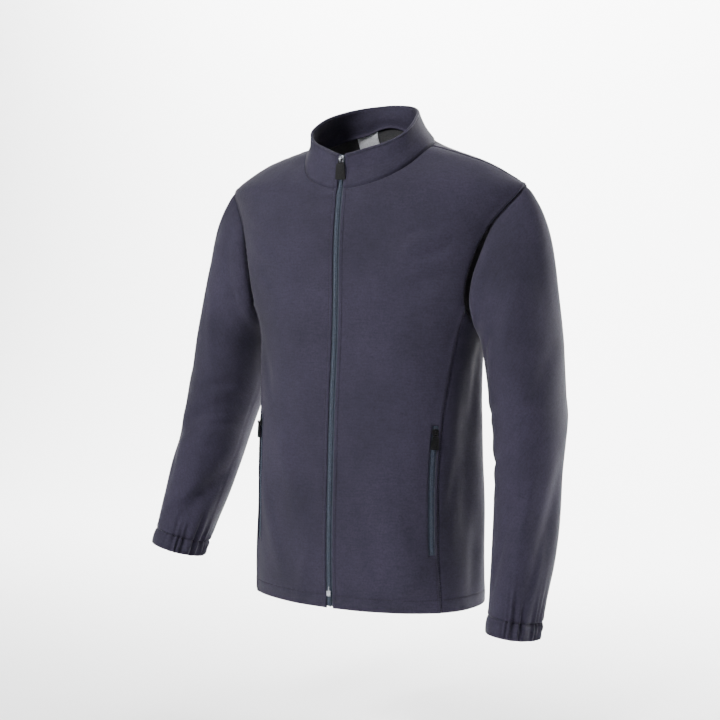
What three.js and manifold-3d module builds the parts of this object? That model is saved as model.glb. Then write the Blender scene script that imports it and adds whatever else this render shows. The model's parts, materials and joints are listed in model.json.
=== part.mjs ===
// A softshell jacket as worn, with nobody in it: zipped front, stand collar, set-in sleeves with
// part-elastic cuffs, and two zipped hand pockets beside the curved front seams.
// Millimetres, +Z up, front towards -Y, the wearer's left at +X. The origin lies midway between
// the two points where the shoulder seams meet the collar, which is where a wearer carries it.
import * as THREE from "three";
import Module from "manifold-3d";
import { mergeVertices } from "three/addons/utils/BufferGeometryUtils.js";

const wasm = await Module();
wasm.setup();

// Cloth and seams
const CLOTH = 1.6;
const SEAM_GAP = 0.3;
const LAYER_GAP = 0.3;

// Front zip
const ZIP_SHOWS = 11;
const TAPE_WIDTH = 14;
const TAPE_THICK = 0.8;
const CHAIN_WIDTH = 6;
const CHAIN_THICK = 2;
const CHAIN_FRONT = CHAIN_THICK - CLOTH;
const CHAIN_BEVEL = 0.5;
const BOX_THICK = 1.4;
const ZIP_END_INSET = 3;
const ZIP_TOP = 0.96;
const SLIDER_UP_COLLAR = 0.84;

// Pull tabs
const FRONT_PULL = { length: 30, lowWidth: 15, highWidth: 11 };
const POCKET_PULL = { length: 25, lowWidth: 13, highWidth: 11 };

// Hand pocket: its slit in the front panel, measured in from the curved seam and up from the hem
const SLIT_NEAR = 6;
const SLIT_FAR = 16;
const SLIT_LOW_Z = -603;
const SLIT_HIGH_Z = -412;
const POCKET_TAPE_SPILL = 3;
const POCKET_SLIDER_DROP = 10;

// Cuff band
const CUFF_HEIGHT = 25;
const CUFF_GATHERS = 16;
const CUFF_GATHER_DEPTH = 1.8;
const CUFF_BULGE = 1.4;
const ELASTIC_DRAW = 1.2;

// The stretch round each cuff that its elastic draws in, by turn: each sleeve is twisted a little
const ELASTIC = { 1: { from: 0.59, to: 1.23 }, [-1]: { from: 0.29, to: 0.93 } };

// The way each cuff's mouth faces, and where down the sleeve it begins to slant that way
const MOUTH = { 1: { x: -0.09, y: -0.11, z: -0.97 }, [-1]: { x: 0.21, y: -0.18, z: -0.9 } };
const SLANT_FROM = 0.55;
const SLEEVE_GATHERS = 10;
const SLEEVE_GATHER_DEPTH = 1.6;
const SLEEVE_GATHERS_FROM = 0.86;

// How far the stand collar's face bows in between its two edges
const COLLAR_BOW = 2.2;

// Neck label, inside the back just below the collar seam, to the wearer's right of its centre
const LABEL_WIDTH = 34;
const LABEL_HEIGHT = 22;
const LABEL_THICK = 0.6;
const LABEL_TOP_DROP = 1;
const LABEL_X = -40;
const LABEL_GAP = 1.2;

// Level rings of the body's form, hem to neck: height, half width, y of the centre front, centre
// back and widest point, and how square the ring is (2 is an ellipse).
const BODY_RINGS = [
  { z: -690, halfWidth: 189, frontY: -134, backY: 101, sideY: -11, square: 2.2 },
  { z: -600, halfWidth: 185, frontY: -136, backY: 96, sideY: -12, square: 2.25 },
  { z: -470, halfWidth: 182, frontY: -131, backY: 88, sideY: -11, square: 2.3 },
  { z: -380, halfWidth: 180, frontY: -126, backY: 94, sideY: -7, square: 2.35 },
  { z: -300, halfWidth: 180, frontY: -119, backY: 106, sideY: -2, square: 2.4 },
  { z: -266, halfWidth: 187, frontY: -117, backY: 113, sideY: 1, square: 2.4 },
  { z: -240, halfWidth: 199, frontY: -116, backY: 114, sideY: 2, square: 2.35 },
  { z: -205, halfWidth: 213, frontY: -115, backY: 113, sideY: 3, square: 2.25 },
  { z: -160, halfWidth: 222, frontY: -114, backY: 110, sideY: 4, square: 2.15 },
  { z: -120, halfWidth: 230, frontY: -111, backY: 104, sideY: 5, square: 2 },
  { z: -85, halfWidth: 245, frontY: -106, backY: 97, sideY: 7, square: 1.85 },
  { z: -62, halfWidth: 252, frontY: -100, backY: 91, sideY: 8, square: 1.75 },
  { z: -40, halfWidth: 222, frontY: -78, backY: 84, sideY: 7, square: 1.8 },
  { z: -22, halfWidth: 186, frontY: -55, backY: 79, sideY: 6, square: 1.85 },
  { z: -2, halfWidth: 126, frontY: -34, backY: 72, sideY: 12, square: 2 },
  { z: 10, halfWidth: 94, frontY: -8, backY: 67, sideY: 28, square: 2 },
  { z: 24, halfWidth: 70, frontY: 6, backY: 60, sideY: 34, square: 2 },
];
const HEM_Z = BODY_RINGS[0].z;
const CHEST_Z = -300;
const UPPER_CENTRE_Z = -150;

// The neckline, by share of the half turn from centre front to centre back, with the collar's
// top edge above each point.
const NECKLINE = [
  { turn: 0, x: 0, y: -102, z: -63, topX: 0, topY: -96, topZ: -12 },
  { turn: 0.14, x: 36, y: -96, z: -58, topX: 37, topY: -80, topZ: -2 },
  { turn: 0.28, x: 68, y: -78, z: -46, topX: 70, topY: -62, topZ: 11 },
  { turn: 0.42, x: 92, y: -49, z: -25, topX: 86, topY: -40, topZ: 28 },
  { turn: 0.55, x: 101, y: -5, z: -2, topX: 81, topY: -10, topZ: 46 },
  { turn: 0.7, x: 90, y: 34, z: 15, topX: 67, topY: 22, topZ: 58 },
  { turn: 0.85, x: 52, y: 55.5, z: 30, topX: 42, topY: 50, topZ: 66 },
  { turn: 1, x: 0, y: 60, z: 36, topX: 0, topY: 63, topZ: 69 },
];
const NECK_POINT_TURN = 0.55;

// The shoulder seam, neck to tip.
const SHOULDER = [
  { along: 0, x: 101, y: -4, z: -2 },
  { along: 0.5, x: 175, y: -4, z: -22 },
  { along: 1, x: 249, y: 8, z: -62 },
];

// The armhole from the shoulder tip down the front, under the arm and up the back. The out
// columns are the way the sleeve leaves the seam, and reach is how far it keeps to it.
const ARMHOLE = [
  { turn: 0, x: 249, y: 8, z: -62, outX: 0.76, outY: 0, outZ: -0.65, reach: 0.8 },
  { turn: 0.08, x: 234, y: -14, z: -85, outX: 0.76, outY: -0.28, outZ: -0.6, reach: 0.8 },
  { turn: 0.16, x: 216, y: -34, z: -118, outX: 0.78, outY: -0.38, outZ: -0.5, reach: 0.8 },
  { turn: 0.235, x: 201, y: -50, z: -160, outX: 0.8, outY: -0.4, outZ: -0.45, reach: 0.75 },
  { turn: 0.31, x: 191, y: -58, z: -205, outX: 0.8, outY: -0.35, outZ: -0.49, reach: 0.7 },
  { turn: 0.38, x: 187, y: -50, z: -240, outX: 0.8, outY: -0.2, outZ: -0.57, reach: 0.6 },
  { turn: 0.44, x: 186, y: -25, z: -260, outX: 0.8, outY: -0.05, outZ: -0.6, reach: 0.6 },
  { turn: 0.5, x: 187, y: 4, z: -266, outX: 0.8, outY: 0, outZ: -0.6, reach: 0.6 },
  { turn: 0.56, x: 187, y: 34, z: -260, outX: 0.8, outY: 0.05, outZ: -0.6, reach: 0.6 },
  { turn: 0.62, x: 189, y: 62, z: -240, outX: 0.82, outY: 0.2, outZ: -0.54, reach: 0.6 },
  { turn: 0.69, x: 194, y: 76, z: -205, outX: 0.8, outY: 0.35, outZ: -0.49, reach: 0.7 },
  { turn: 0.765, x: 203, y: 76, z: -165, outX: 0.78, outY: 0.4, outZ: -0.48, reach: 0.75 },
  { turn: 0.84, x: 216, y: 62, z: -122, outX: 0.78, outY: 0.38, outZ: -0.5, reach: 0.8 },
  { turn: 0.92, x: 234, y: 38, z: -86, outX: 0.76, outY: 0.28, outZ: -0.6, reach: 0.8 },
  { turn: 1, x: 249, y: 8, z: -62, outX: 0.76, outY: 0, outZ: -0.65, reach: 0.8 },
];
const FRONT_SEAM_TURN = 0.38;
const BACK_SEAM_TURN = 0.62;

// The curved front seam and the side panel's back seam, as angles round the body from the front.
const FRONT_SEAM = [
  { z: -690, angle: 66.5 },
  { z: -600, angle: 65.5 },
  { z: -524, angle: 65.5 },
  { z: -460, angle: 66.2 },
  { z: -397, angle: 68 },
  { z: -340, angle: 71 },
  { z: -300, angle: 73 },
];
const BACK_SEAM = [
  { z: -690, angle: 119 },
  { z: -470, angle: 117.5 },
  { z: -300, angle: 112 },
];

// The sleeves below the armhole, from the upper-arm ring to the cuff seam: the middle of each
// ring, x being its distance out from the centre of the body, and its half axes.
const SLEEVE_RINGS = {
  left: [
    { at: 0, x: 250, y: 9, z: -300, halfWidth: 57, halfDepth: 76 },
    { at: 0.2, x: 262, y: -2, z: -378, halfWidth: 54, halfDepth: 72 },
    { at: 0.4, x: 271, y: -16, z: -455, halfWidth: 50, halfDepth: 65 },
    { at: 0.6, x: 277, y: -34, z: -530, halfWidth: 47, halfDepth: 60 },
    { at: 0.8, x: 280, y: -56, z: -605, halfWidth: 43, halfDepth: 55 },
    { at: 1, x: 280, y: -82, z: -683, halfWidth: 38, halfDepth: 46 },
  ],
  right: [
    { at: 0, x: 262, y: 16, z: -297, halfWidth: 58, halfDepth: 77 },
    { at: 0.2, x: 276, y: 16, z: -362, halfWidth: 57, halfDepth: 74 },
    { at: 0.4, x: 288, y: 2, z: -425, halfWidth: 53, halfDepth: 69 },
    { at: 0.6, x: 293, y: -22, z: -485, halfWidth: 50, halfDepth: 64 },
    { at: 0.8, x: 297, y: -52, z: -545, halfWidth: 46, halfDepth: 59 },
    { at: 1, x: 300, y: -88, z: -611, halfWidth: 40, halfDepth: 49 },
  ],
};

// The largest folds. On the body each runs between two points given by angle and height, and on
// a sleeve by share of the turn and share of the length; a negative depth is a trough.
const BODY_FOLDS = [
  { side: 1, angle: 64, z: -125, toAngle: 36, toZ: -200, width: 30, depth: 3 },
  { side: 1, angle: 84, z: -340, toAngle: 80, toZ: -600, width: 20, depth: -7 },
  { side: 1, angle: 100, z: -420, toAngle: 98, toZ: -660, width: 24, depth: 5 },
  { side: -1, angle: 84, z: -340, toAngle: 80, toZ: -560, width: 20, depth: -6 },
  { side: -1, angle: 42, z: -420, toAngle: 22, toZ: -560, width: 26, depth: 3 },
  { side: 1, angle: 36, z: -500, toAngle: 52, toZ: -660, width: 24, depth: 2.4 },
  { side: 1, angle: 132, z: -330, toAngle: 150, toZ: -470, width: 26, depth: -5 },
  { side: -1, angle: 130, z: -350, toAngle: 152, toZ: -500, width: 26, depth: -5 },
  { side: 1, angle: 122, z: -190, toAngle: 148, toZ: -140, width: 22, depth: 3.5 },
  { side: -1, angle: 122, z: -200, toAngle: 150, toZ: -140, width: 22, depth: 3.5 },
];
const SLEEVE_FOLDS = {
  left: [
    { turn: 0.98, at: 0.42, toTurn: 0.12, toAt: 0.95, width: 18, depth: -6 },
    { turn: 0.34, at: 0.3, toTurn: 0.62, toAt: 0.36, width: 22, depth: -4 },
    { turn: 0.7, at: 0.2, toTurn: 0.86, toAt: 0.46, width: 24, depth: -4 },
  ],
  right: [
    { turn: 0.44, at: 0.3, toTurn: 0.14, toAt: 0.58, width: 19, depth: -7 },
    { turn: 0.5, at: 0.66, toTurn: 0.3, toAt: 0.96, width: 18, depth: -8 },
    { turn: 0.7, at: 0.2, toTurn: 0.86, toAt: 0.46, width: 24, depth: -4 },
  ],
};
const MM_PER_DEGREE = 2.9;
const SLEEVE_GIRTH = 380;
const SLEEVE_LENGTH = 400;

// How finely the pieces are divided
const LOWER_ROWS = [HEM_Z, -655, SLIT_LOW_Z, -555, -508, -460, SLIT_HIGH_Z, -375, -338, CHEST_Z];
const SEAM_TOP_STEPS = 2;
const ARM_STEPS = 7;
const SIDE_STEPS = 8;
const NECK_FRONT_TURNS = [0.14, 0.28, 0.42, 0.55];
const NECK_BACK_TURNS = [0.55, 0.66, 0.77, 0.89, 1];
const SHOULDER_STOPS = [0, 0.25, 0.5, 0.75, 0.9, 0.96, 1];
const CAP_ROWS = 7;
const TUBE_ROWS = 18;
const COLLAR_ROWS = [0, 1 / 3, 2 / 3, 1];
const EVENING_PASSES = 16;
const CUFF_STEPS = 72;
const CUFF_ROWS = 2;

const DARK_CLOTH = { color: 0x45424f, roughness: 0.82, metalness: 0 };
const ZIP_CLOTH = { color: 0x39424c, roughness: 0.6, metalness: 0 };
const BLACK_PLASTIC = { color: 0x121214, roughness: 0.45, metalness: 0.1 };
const BRIGHT_METAL = { color: 0xb9bcc4, roughness: 0.3, metalness: 0.9 };
const LABEL_CLOTH = { color: 0xc9c9cf, roughness: 0.7, metalness: 0 };

const vec = (x, y, z) => new THREE.Vector3(x, y, z);
const { clamp, lerp, degToRad, radToDeg } = THREE.MathUtils;
const smooth = (from, to, at) => {
  const t = clamp((at - from) / (to - from), 0, 1);
  return t * t * (3 - 2 * t);
};
const steps = (from, to, count) =>
  Array.from({ length: count + 1 }, (_, i) => lerp(from, to, i / count));
const normalOf = (a, b) => a.clone().cross(b).normalize();

function hermite(a, slopeA, b, slopeB, t) {
  const t2 = t * t;
  const t3 = t2 * t;
  return (
    a * (2 * t3 - 3 * t2 + 1) + slopeA * (t3 - 2 * t2 + t) + b * (3 * t2 - 2 * t3) + slopeB * (t3 - t2)
  );
}

// One column of a table at any value of its knot column, as a smooth curve through the rows.
function read(rows, knot, column, at) {
  const last = rows.length - 1;
  let i = 0;
  while (i < last - 1 && at > rows[i + 1][knot]) i++;
  const slope = (k) => {
    const a = rows[Math.max(k - 1, 0)];
    const b = rows[Math.min(k + 1, last)];
    return (b[column] - a[column]) / (b[knot] - a[knot]);
  };
  const step = rows[i + 1][knot] - rows[i][knot];
  const t = clamp((at - rows[i][knot]) / step, 0, 1);
  return hermite(rows[i][column], slope(i) * step, rows[i + 1][column], slope(i + 1) * step, t);
}

const readPoint = (rows, knot, at, names = ["x", "y", "z"]) =>
  vec(...names.map((name) => read(rows, knot, name, at)));

// A table that meets its own mirror image at both ends; the odd columns change sign there.
function mirrorEnds(rows, knot, odd) {
  const reflect = (row, about) => {
    const image = { ...row, [knot]: 2 * about[knot] - row[knot] };
    odd.forEach((name) => (image[name] = -row[name]));
    return image;
  };
  return [reflect(rows[1], rows[0]), ...rows, reflect(rows.at(-2), rows.at(-1))];
}

// A table whose last row meets its first again, one turn on.
const closeEnds = (rows) => [
  { ...rows.at(-2), turn: rows.at(-2).turn - 1 },
  ...rows,
  { ...rows[1], turn: rows[1].turn + 1 },
];

const NECK_CURVE = mirrorEnds(NECKLINE, "turn", ["x", "topX"]);
const ARM_CURVE = closeEnds(ARMHOLE);
const OUT = ["outX", "outY", "outZ"];
const COLLAR_TOP = ["topX", "topY", "topZ"];

// How far a point at (u, w) is raised by folds that run between two points of the same plane.
function foldHeight(folds, u, w) {
  return folds.reduce((sum, fold) => {
    const du = fold.u1 - fold.u0;
    const dw = fold.w1 - fold.w0;
    const t = clamp(((u - fold.u0) * du + (w - fold.w0) * dw) / (du * du + dw * dw), 0, 1);
    const away = Math.hypot(u - fold.u0 - t * du, w - fold.w0 - t * dw) / fold.width;
    const taper = 0.35 + 0.65 * Math.sin(Math.PI * t);
    return sum + fold.depth * taper * Math.exp(-away * away);
  }, 0);
}

const bodyFoldPlane = (side) =>
  BODY_FOLDS.filter((fold) => fold.side === side).map((fold) => ({
    u0: fold.angle * MM_PER_DEGREE,
    w0: fold.z,
    u1: fold.toAngle * MM_PER_DEGREE,
    w1: fold.toZ,
    width: fold.width,
    depth: fold.depth,
  }));
const BODY_FOLD_PLANES = { 1: bodyFoldPlane(1), [-1]: bodyFoldPlane(-1) };

// The size of the form's level ring at a height.
function ringAt(z) {
  const ring = (name) => read(BODY_RINGS, "z", name, z);
  const sideY = ring("sideY");
  return {
    halfWidth: ring("halfWidth"),
    front: sideY - ring("frontY"),
    back: ring("backY") - sideY,
    sideY,
    power: ring("square"),
  };
}

// Below 0 inside the form and above 0 outside it.
function outsideForm(p) {
  const { halfWidth, front, back, sideY, power } = ringAt(p.z);
  const y = p.y - sideY;
  const across = Math.pow(Math.abs(p.x) / halfWidth, power);
  return across + Math.pow(Math.abs(y) / (y < 0 ? front : back), power) - 1;
}

// A point on the level ring at an angle from the centre front.
function ringPoint(angle, z) {
  const { halfWidth, front, back, sideY, power } = ringAt(z);
  const sin = Math.sin(degToRad(angle));
  const cos = Math.cos(degToRad(angle));
  const depth = cos > 0 ? front : back;
  const sum = Math.pow(Math.abs(sin) / halfWidth, power) + Math.pow(Math.abs(cos) / depth, power);
  const reach = Math.pow(sum, -1 / power);
  return vec(reach * sin, sideY - reach * cos, z);
}

// The nearest place of the form on the line from its middle through a point near its surface.
function ontoForm(point) {
  const centre = vec(0, 0, Math.min(point.z, UPPER_CENTRE_Z));
  const ray = point.clone().sub(centre);
  const at = (t) => centre.clone().addScaledVector(ray, t);
  let low = 0.4;
  let high = 2.4;
  for (let i = 0; i < 30; i++) {
    const middle = (low + high) / 2;
    if (outsideForm(at(middle)) < 0) low = middle;
    else high = middle;
  }
  return at((low + high) / 2);
}

function formNormal(p) {
  const step = 0.5;
  const slope = (axis) => {
    const ahead = p.clone();
    const behind = p.clone();
    ahead[axis] += step;
    behind[axis] -= step;
    return outsideForm(ahead) - outsideForm(behind);
  };
  return vec(slope("x"), slope("y"), slope("z")).normalize();
}

// A place on the worn body: a point of the form raised by that side's folds, and its outward
// direction. Every place is worked out on the wearer's left and mirrored at the end.
function worn(side, point) {
  const n = formNormal(point);
  const angle = radToDeg(Math.atan2(point.x, ringAt(point.z).sideY - point.y));
  const fade = smooth(4, 16, angle) * smooth(176, 164, angle) * smooth(-62, -105, point.z);
  const raised = foldHeight(BODY_FOLD_PLANES[side], angle * MM_PER_DEGREE, point.z) * fade;
  return { p: point.clone().addScaledVector(n, raised), n };
}

const wornRing = (side, angle, z) => worn(side, ringPoint(angle, z));
const wornNear = (side, point) => worn(side, ontoForm(point));
const armholePlace = (side, turn) => wornNear(side, readPoint(ARM_CURVE, "turn", turn));
const neckPlace = (side, turn) => wornNear(side, readPoint(NECK_CURVE, "turn", turn));
const shoulderPlace = (side, along) => wornNear(side, readPoint(SHOULDER, "along", along));

// The angle on a ring at a distance across the cloth from another angle.
function angleAcross(angle, z, distance) {
  const step = 0.5;
  const perDegree = ringPoint(angle + step, z).distanceTo(ringPoint(angle, z)) / step;
  return angle + distance / perDegree;
}

// The collar's outer face: up runs from the neckline 0 to the top edge 1.
function collarPoint(side, turn, up) {
  const p = neckPlace(side, turn).p.lerp(readPoint(NECK_CURVE, "turn", turn, COLLAR_TOP), up);
  const out = p.clone().sub(vec(0, -18, p.z)).normalize();
  return p.addScaledVector(out, -COLLAR_BOW * Math.sin(Math.PI * up));
}

function collarAt(side, turn, up) {
  const wide = collarPoint(side, turn + 0.004, up).sub(collarPoint(side, turn - 0.004, up));
  const low = Math.max(up - 0.02, 0);
  const high = Math.min(up + 0.02, 1);
  const tall = collarPoint(side, turn, high).sub(collarPoint(side, turn, low));
  return { p: collarPoint(side, turn, up), n: normalOf(wide.normalize(), tall.normalize()) };
}

const sleeveFoldPlane = (folds) =>
  folds.flatMap((fold) =>
    [-1, 0, 1].map((lap) => ({
      u0: (fold.turn + lap) * SLEEVE_GIRTH,
      w0: fold.at * SLEEVE_LENGTH,
      u1: (fold.toTurn + lap + (fold.toTurn < fold.turn - 0.5 ? 1 : 0)) * SLEEVE_GIRTH,
      w1: fold.toAt * SLEEVE_LENGTH,
      width: fold.width,
      depth: fold.depth,
    })),
  );
const SLEEVE_FOLD_PLANES = {
  1: sleeveFoldPlane(SLEEVE_FOLDS.left),
  [-1]: sleeveFoldPlane(SLEEVE_FOLDS.right),
};
const RINGS_OF = { 1: SLEEVE_RINGS.left, [-1]: SLEEVE_RINGS.right };

// A sleeve's section below the armhole: its middle, the way down the arm, and its two half axes.
// Turn 0 is the outer side, 0.25 the front and 0.5 the inner side.
function sleeveFrame(side, at) {
  const middle = (share) => readPoint(RINGS_OF[side], "at", clamp(share, 0, 1));
  const down = middle(at + 0.02).sub(middle(at - 0.02)).normalize();
  const front = vec(0, -1, 0).addScaledVector(down, down.y).normalize();
  return { middle: middle(at), down, front, outer: normalOf(front, down) };
}

// A place on the tube's section, slid along the arm so that the mouth faces its own way.
function sleeveRing(side, turn, at) {
  const { middle, down, front, outer } = sleeveFrame(side, at);
  const across = outer
    .multiplyScalar(Math.cos(2 * Math.PI * turn) * read(RINGS_OF[side], "at", "halfWidth", at))
    .addScaledVector(front, Math.sin(2 * Math.PI * turn) * read(RINGS_OF[side], "at", "halfDepth", at));
  const mouth = vec(MOUTH[side].x, MOUTH[side].y, MOUTH[side].z);
  const slide = (-smooth(SLANT_FROM, 1, at) * across.dot(mouth)) / down.dot(mouth);
  return middle.add(across).addScaledVector(down, slide);
}

// A turn carried on past 1 where the elastic runs over the outer side.
const elasticTurn = (side, turn) => (turn < ELASTIC[side].from - 0.06 ? turn + 1 : turn);

// How strongly the cuff's elastic draws the cloth in at a place round the sleeve.
function elasticAt(side, turn) {
  const { from, to } = ELASTIC[side];
  const carried = elasticTurn(side, turn);
  return smooth(from - 0.05, from + 0.05, carried) * smooth(to + 0.05, to - 0.05, carried);
}

// The smooth sleeve: along is -1 at the armhole, 0 at the upper-arm ring, 1 at the cuff seam.
function plainSleeve(side, turn, along) {
  if (along >= 0) return sleeveRing(side, turn, along);
  const start = armholePlace(side, turn).p;
  const out = readPoint(ARM_CURVE, "turn", turn, OUT).normalize();
  const end = sleeveRing(side, turn, 0);
  const { down } = sleeveFrame(side, 0);
  const span = start.distanceTo(end);
  const reach = span * read(ARM_CURVE, "turn", "reach", turn);
  const axis = (name) =>
    hermite(start[name], out[name] * reach, end[name], down[name] * span, along + 1);
  return vec(axis("x"), axis("y"), axis("z"));
}

const wrapTurn = (turn) => turn - Math.floor(turn);

function sleeveNormal(surface, turn, along) {
  const wide = surface(wrapTurn(turn + 0.004), along).sub(surface(wrapTurn(turn - 0.004), along));
  const up = surface(turn, Math.max(along - 0.01, -1)).sub(surface(turn, Math.min(along + 0.01, 1)));
  return normalOf(up.normalize(), wide.normalize());
}

function sleevePoint(side, turn, along) {
  const plain = (t, a) => plainSleeve(side, t, a);
  const fade = smooth(-1, -0.7, along) * smooth(1, 0.93, along);
  const planes = SLEEVE_FOLD_PLANES[side];
  const folds = foldHeight(planes, turn * SLEEVE_GIRTH, along * SLEEVE_LENGTH) * fade;
  const wave = Math.cos(turn * 2 * Math.PI * SLEEVE_GATHERS) * SLEEVE_GATHER_DEPTH;
  const gathers = elasticAt(side, turn) * smooth(SLEEVE_GATHERS_FROM, 1, along) * wave;
  return plain(turn, along).addScaledVector(sleeveNormal(plain, turn, along), folds + gathers);
}

function sleeveAt(side, turn, along) {
  const surface = (t, a) => sleevePoint(side, t, a);
  return { p: surface(turn, along), n: sleeveNormal(surface, turn, along) };
}

// Where two pieces meet at an angle they share one direction for their thickness. Where the
// cloth is folded right back on itself, each keeps its own and draws back from the other.
function meet(mine, theirs) {
  const share = smooth(-0.2, 0.5, mine.n.dot(theirs.n));
  const n = mine.n.clone().addScaledVector(theirs.n, share).normalize();
  return { p: mine.p, n, back: 1 - share };
}

function armholeSeam(side, turn) {
  const body = armholePlace(side, turn);
  const sleeve = { p: body.p, n: sleeveAt(side, wrapTurn(turn), -1).n };
  return { body: meet(body, sleeve), sleeve: meet(sleeve, body) };
}

function neckSeam(side, turn) {
  const body = neckPlace(side, turn);
  const collar = { p: body.p, n: collarAt(side, turn, 0).n };
  return { body: meet(body, collar), collar: meet(collar, body) };
}

const armBody = (side, turn) => armholeSeam(side, turn).body;
const neckBody = (side, turn) => neckSeam(side, turn).body;

// Fills a patch between its four edges, evens it out on the form and then raises its folds. rise
// and run are how far each row and column stands between the edges.
function fill(side, { bottom, top, left, right, rise, run }) {
  const last = rise.length - 1;
  const edge = (i, j) => {
    if (i === 0) return bottom[j];
    if (i === last) return top[j];
    if (j === 0) return left[i];
    return j === run.length - 1 ? right[i] : null;
  };
  let points = rise.map((v, i) =>
    run.map((u, j) => {
      if (edge(i, j)) return edge(i, j).p;
      const p = bottom[j].p.clone().lerp(top[j].p, v);
      const leftOff = left[i].p.clone().sub(left[0].p.clone().lerp(left[last].p, v));
      const rightOff = right[i].p.clone().sub(right[0].p.clone().lerp(right[last].p, v));
      return ontoForm(p.addScaledVector(leftOff, 1 - u).addScaledVector(rightOff, u));
    }),
  );
  for (let pass = 0; pass < EVENING_PASSES; pass++) {
    points = points.map((row, i) =>
      row.map((p, j) => {
        if (edge(i, j)) return p;
        const mean = row[j - 1].clone().add(row[j + 1]).add(points[i - 1][j]).add(points[i + 1][j]);
        return ontoForm(mean.multiplyScalar(0.25));
      }),
    );
  }
  return points.map((row, i) => row.map((p, j) => edge(i, j) ?? worn(side, p)));
}

// How far along a line of places each one stands, as a share of its length.
function shares(places) {
  const total = [0];
  places.slice(1).forEach(({ p }, i) => total.push(total[i] + p.distanceTo(places[i].p)));
  return total.map((length) => length / total.at(-1));
}

// Draws the named edges of a grid back from their neighbours by half the seam gap.
function drawBack(grid, edges) {
  const rows = grid.length;
  const columns = grid[0].length;
  const place = (r, c) => {
    const column = edges.round ? (c + columns) % columns : clamp(c, 0, columns - 1);
    return grid[clamp(r, 0, rows - 1)][column];
  };
  const inward = (r, c, dr, dc) => {
    const run = place(r + dc, c + dr).p.clone().sub(place(r - dc, c - dr).p).normalize();
    const step = place(r + dr, c + dc).p.clone().sub(place(r, c).p);
    step.addScaledVector(run, -step.dot(run));
    const { n } = place(r, c);
    return step.addScaledVector(n, -step.dot(n)).normalize();
  };
  return grid.map((row, r) =>
    row.map(({ p, n, back = 0 }, c) => {
      const q = p.clone().addScaledVector(n, (-back * SEAM_GAP) / 2);
      if (edges.left && c === 0) q.addScaledVector(inward(r, c, 0, 1), SEAM_GAP / 2);
      if (edges.right && c === columns - 1) q.addScaledVector(inward(r, c, 0, -1), SEAM_GAP / 2);
      if (edges.bottom && r === 0) q.addScaledVector(inward(r, c, 1, 0), SEAM_GAP / 2);
      if (edges.top && r === rows - 1) q.addScaledVector(inward(r, c, -1, 0), SEAM_GAP / 2);
      return { p: q, n };
    }),
  );
}

// A closed body between an outer and an inner grid of points. flip is for a mirrored piece, round
// joins the last column to the first, and open leaves out the cells of a slit.
function between(outer, inner, { flip = false, round = false, open = () => false } = {}) {
  const rows = outer.length;
  const columns = outer[0].length;
  const cellColumns = round ? columns : columns - 1;
  const points = [...outer.flat(), ...inner.flat()];
  const out = (r, c) => r * columns + (c % columns);
  const into = (r, c) => rows * columns + out(r, c);
  const index = [];
  const shorterAcross = (a, b, c, d) =>
    points[b].distanceTo(points[d]) < points[a].distanceTo(points[c]);
  const quad = (a, b, c, d, across = shorterAcross(a, b, c, d)) => {
    const [i, j, k, l] = across ? [b, c, d, a] : [a, b, c, d];
    index.push(...(flip ? [i, k, j, i, l, k] : [i, j, k, i, k, l]));
  };
  const solid = (r, c) => {
    const column = round ? (c + cellColumns) % cellColumns : c;
    return r >= 0 && r < rows - 1 && column >= 0 && column < cellColumns && !open(r, column);
  };
  for (let r = 0; r < rows - 1; r++) {
    for (let c = 0; c < cellColumns; c++) {
      if (!solid(r, c)) continue;
      const corners = [out(r, c), out(r, c + 1), out(r + 1, c + 1), out(r + 1, c)];
      const across = shorterAcross(...corners);
      quad(...corners);
      quad(into(r, c), into(r + 1, c), into(r + 1, c + 1), into(r, c + 1), across);
      if (!solid(r - 1, c)) quad(out(r, c), into(r, c), into(r, c + 1), out(r, c + 1));
      if (!solid(r + 1, c)) {
        quad(out(r + 1, c + 1), into(r + 1, c + 1), into(r + 1, c), out(r + 1, c));
      }
      if (!solid(r, c - 1)) quad(out(r + 1, c), into(r + 1, c), into(r, c), out(r, c));
      if (!solid(r, c + 1)) {
        quad(out(r, c + 1), into(r, c + 1), into(r + 1, c + 1), out(r + 1, c + 1));
      }
    }
  }
  const used = [...new Set(index)].sort((a, b) => a - b);
  const place = new Map(used.map((old, i) => [old, i]));
  const geometry = new THREE.BufferGeometry();
  const flat = used.flatMap((i) => [points[i].x, points[i].y, points[i].z]);
  geometry.setAttribute("position", new THREE.Float32BufferAttribute(flat, 3));
  geometry.setIndex(index.map((i) => place.get(i)));
  geometry.computeVertexNormals();
  return geometry;
}

// A grid of surface places moved out or in along their own directions.
const moved = (grid, distance) =>
  grid.map((row) => row.map(({ p, n }) => p.clone().addScaledVector(n, distance)));

const mirrorPlace = ({ p, n }) => ({ p: vec(-p.x, p.y, p.z), n: vec(-n.x, n.y, n.z) });
const onSide = (side, grid) => (side > 0 ? grid : grid.map((row) => row.map(mirrorPlace)));
const mixPlaces = (a, b, t) => ({
  p: a.p.clone().lerp(b.p, t),
  n: a.n.clone().lerp(b.n, t).normalize(),
});

const jacket = new THREE.Group();

function add(name, geometry, look, parent = jacket) {
  const mesh = new THREE.Mesh(geometry, new THREE.MeshStandardMaterial(look));
  mesh.name = name;
  parent.add(mesh);
  return mesh;
}

// A layer of a grid between two depths below its outer face.
function layer(name, grid, from, thick, look, { side = 1, ...options } = {}) {
  const placed = onSide(side, grid);
  const outer = moved(placed, -from);
  const inner = moved(placed, -from - thick);
  return add(name, between(outer, inner, { flip: side < 0, ...options }), look);
}

const seamPlace = (side, seam, z) => wornRing(side, read(seam, "z", "angle", z), z);

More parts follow.
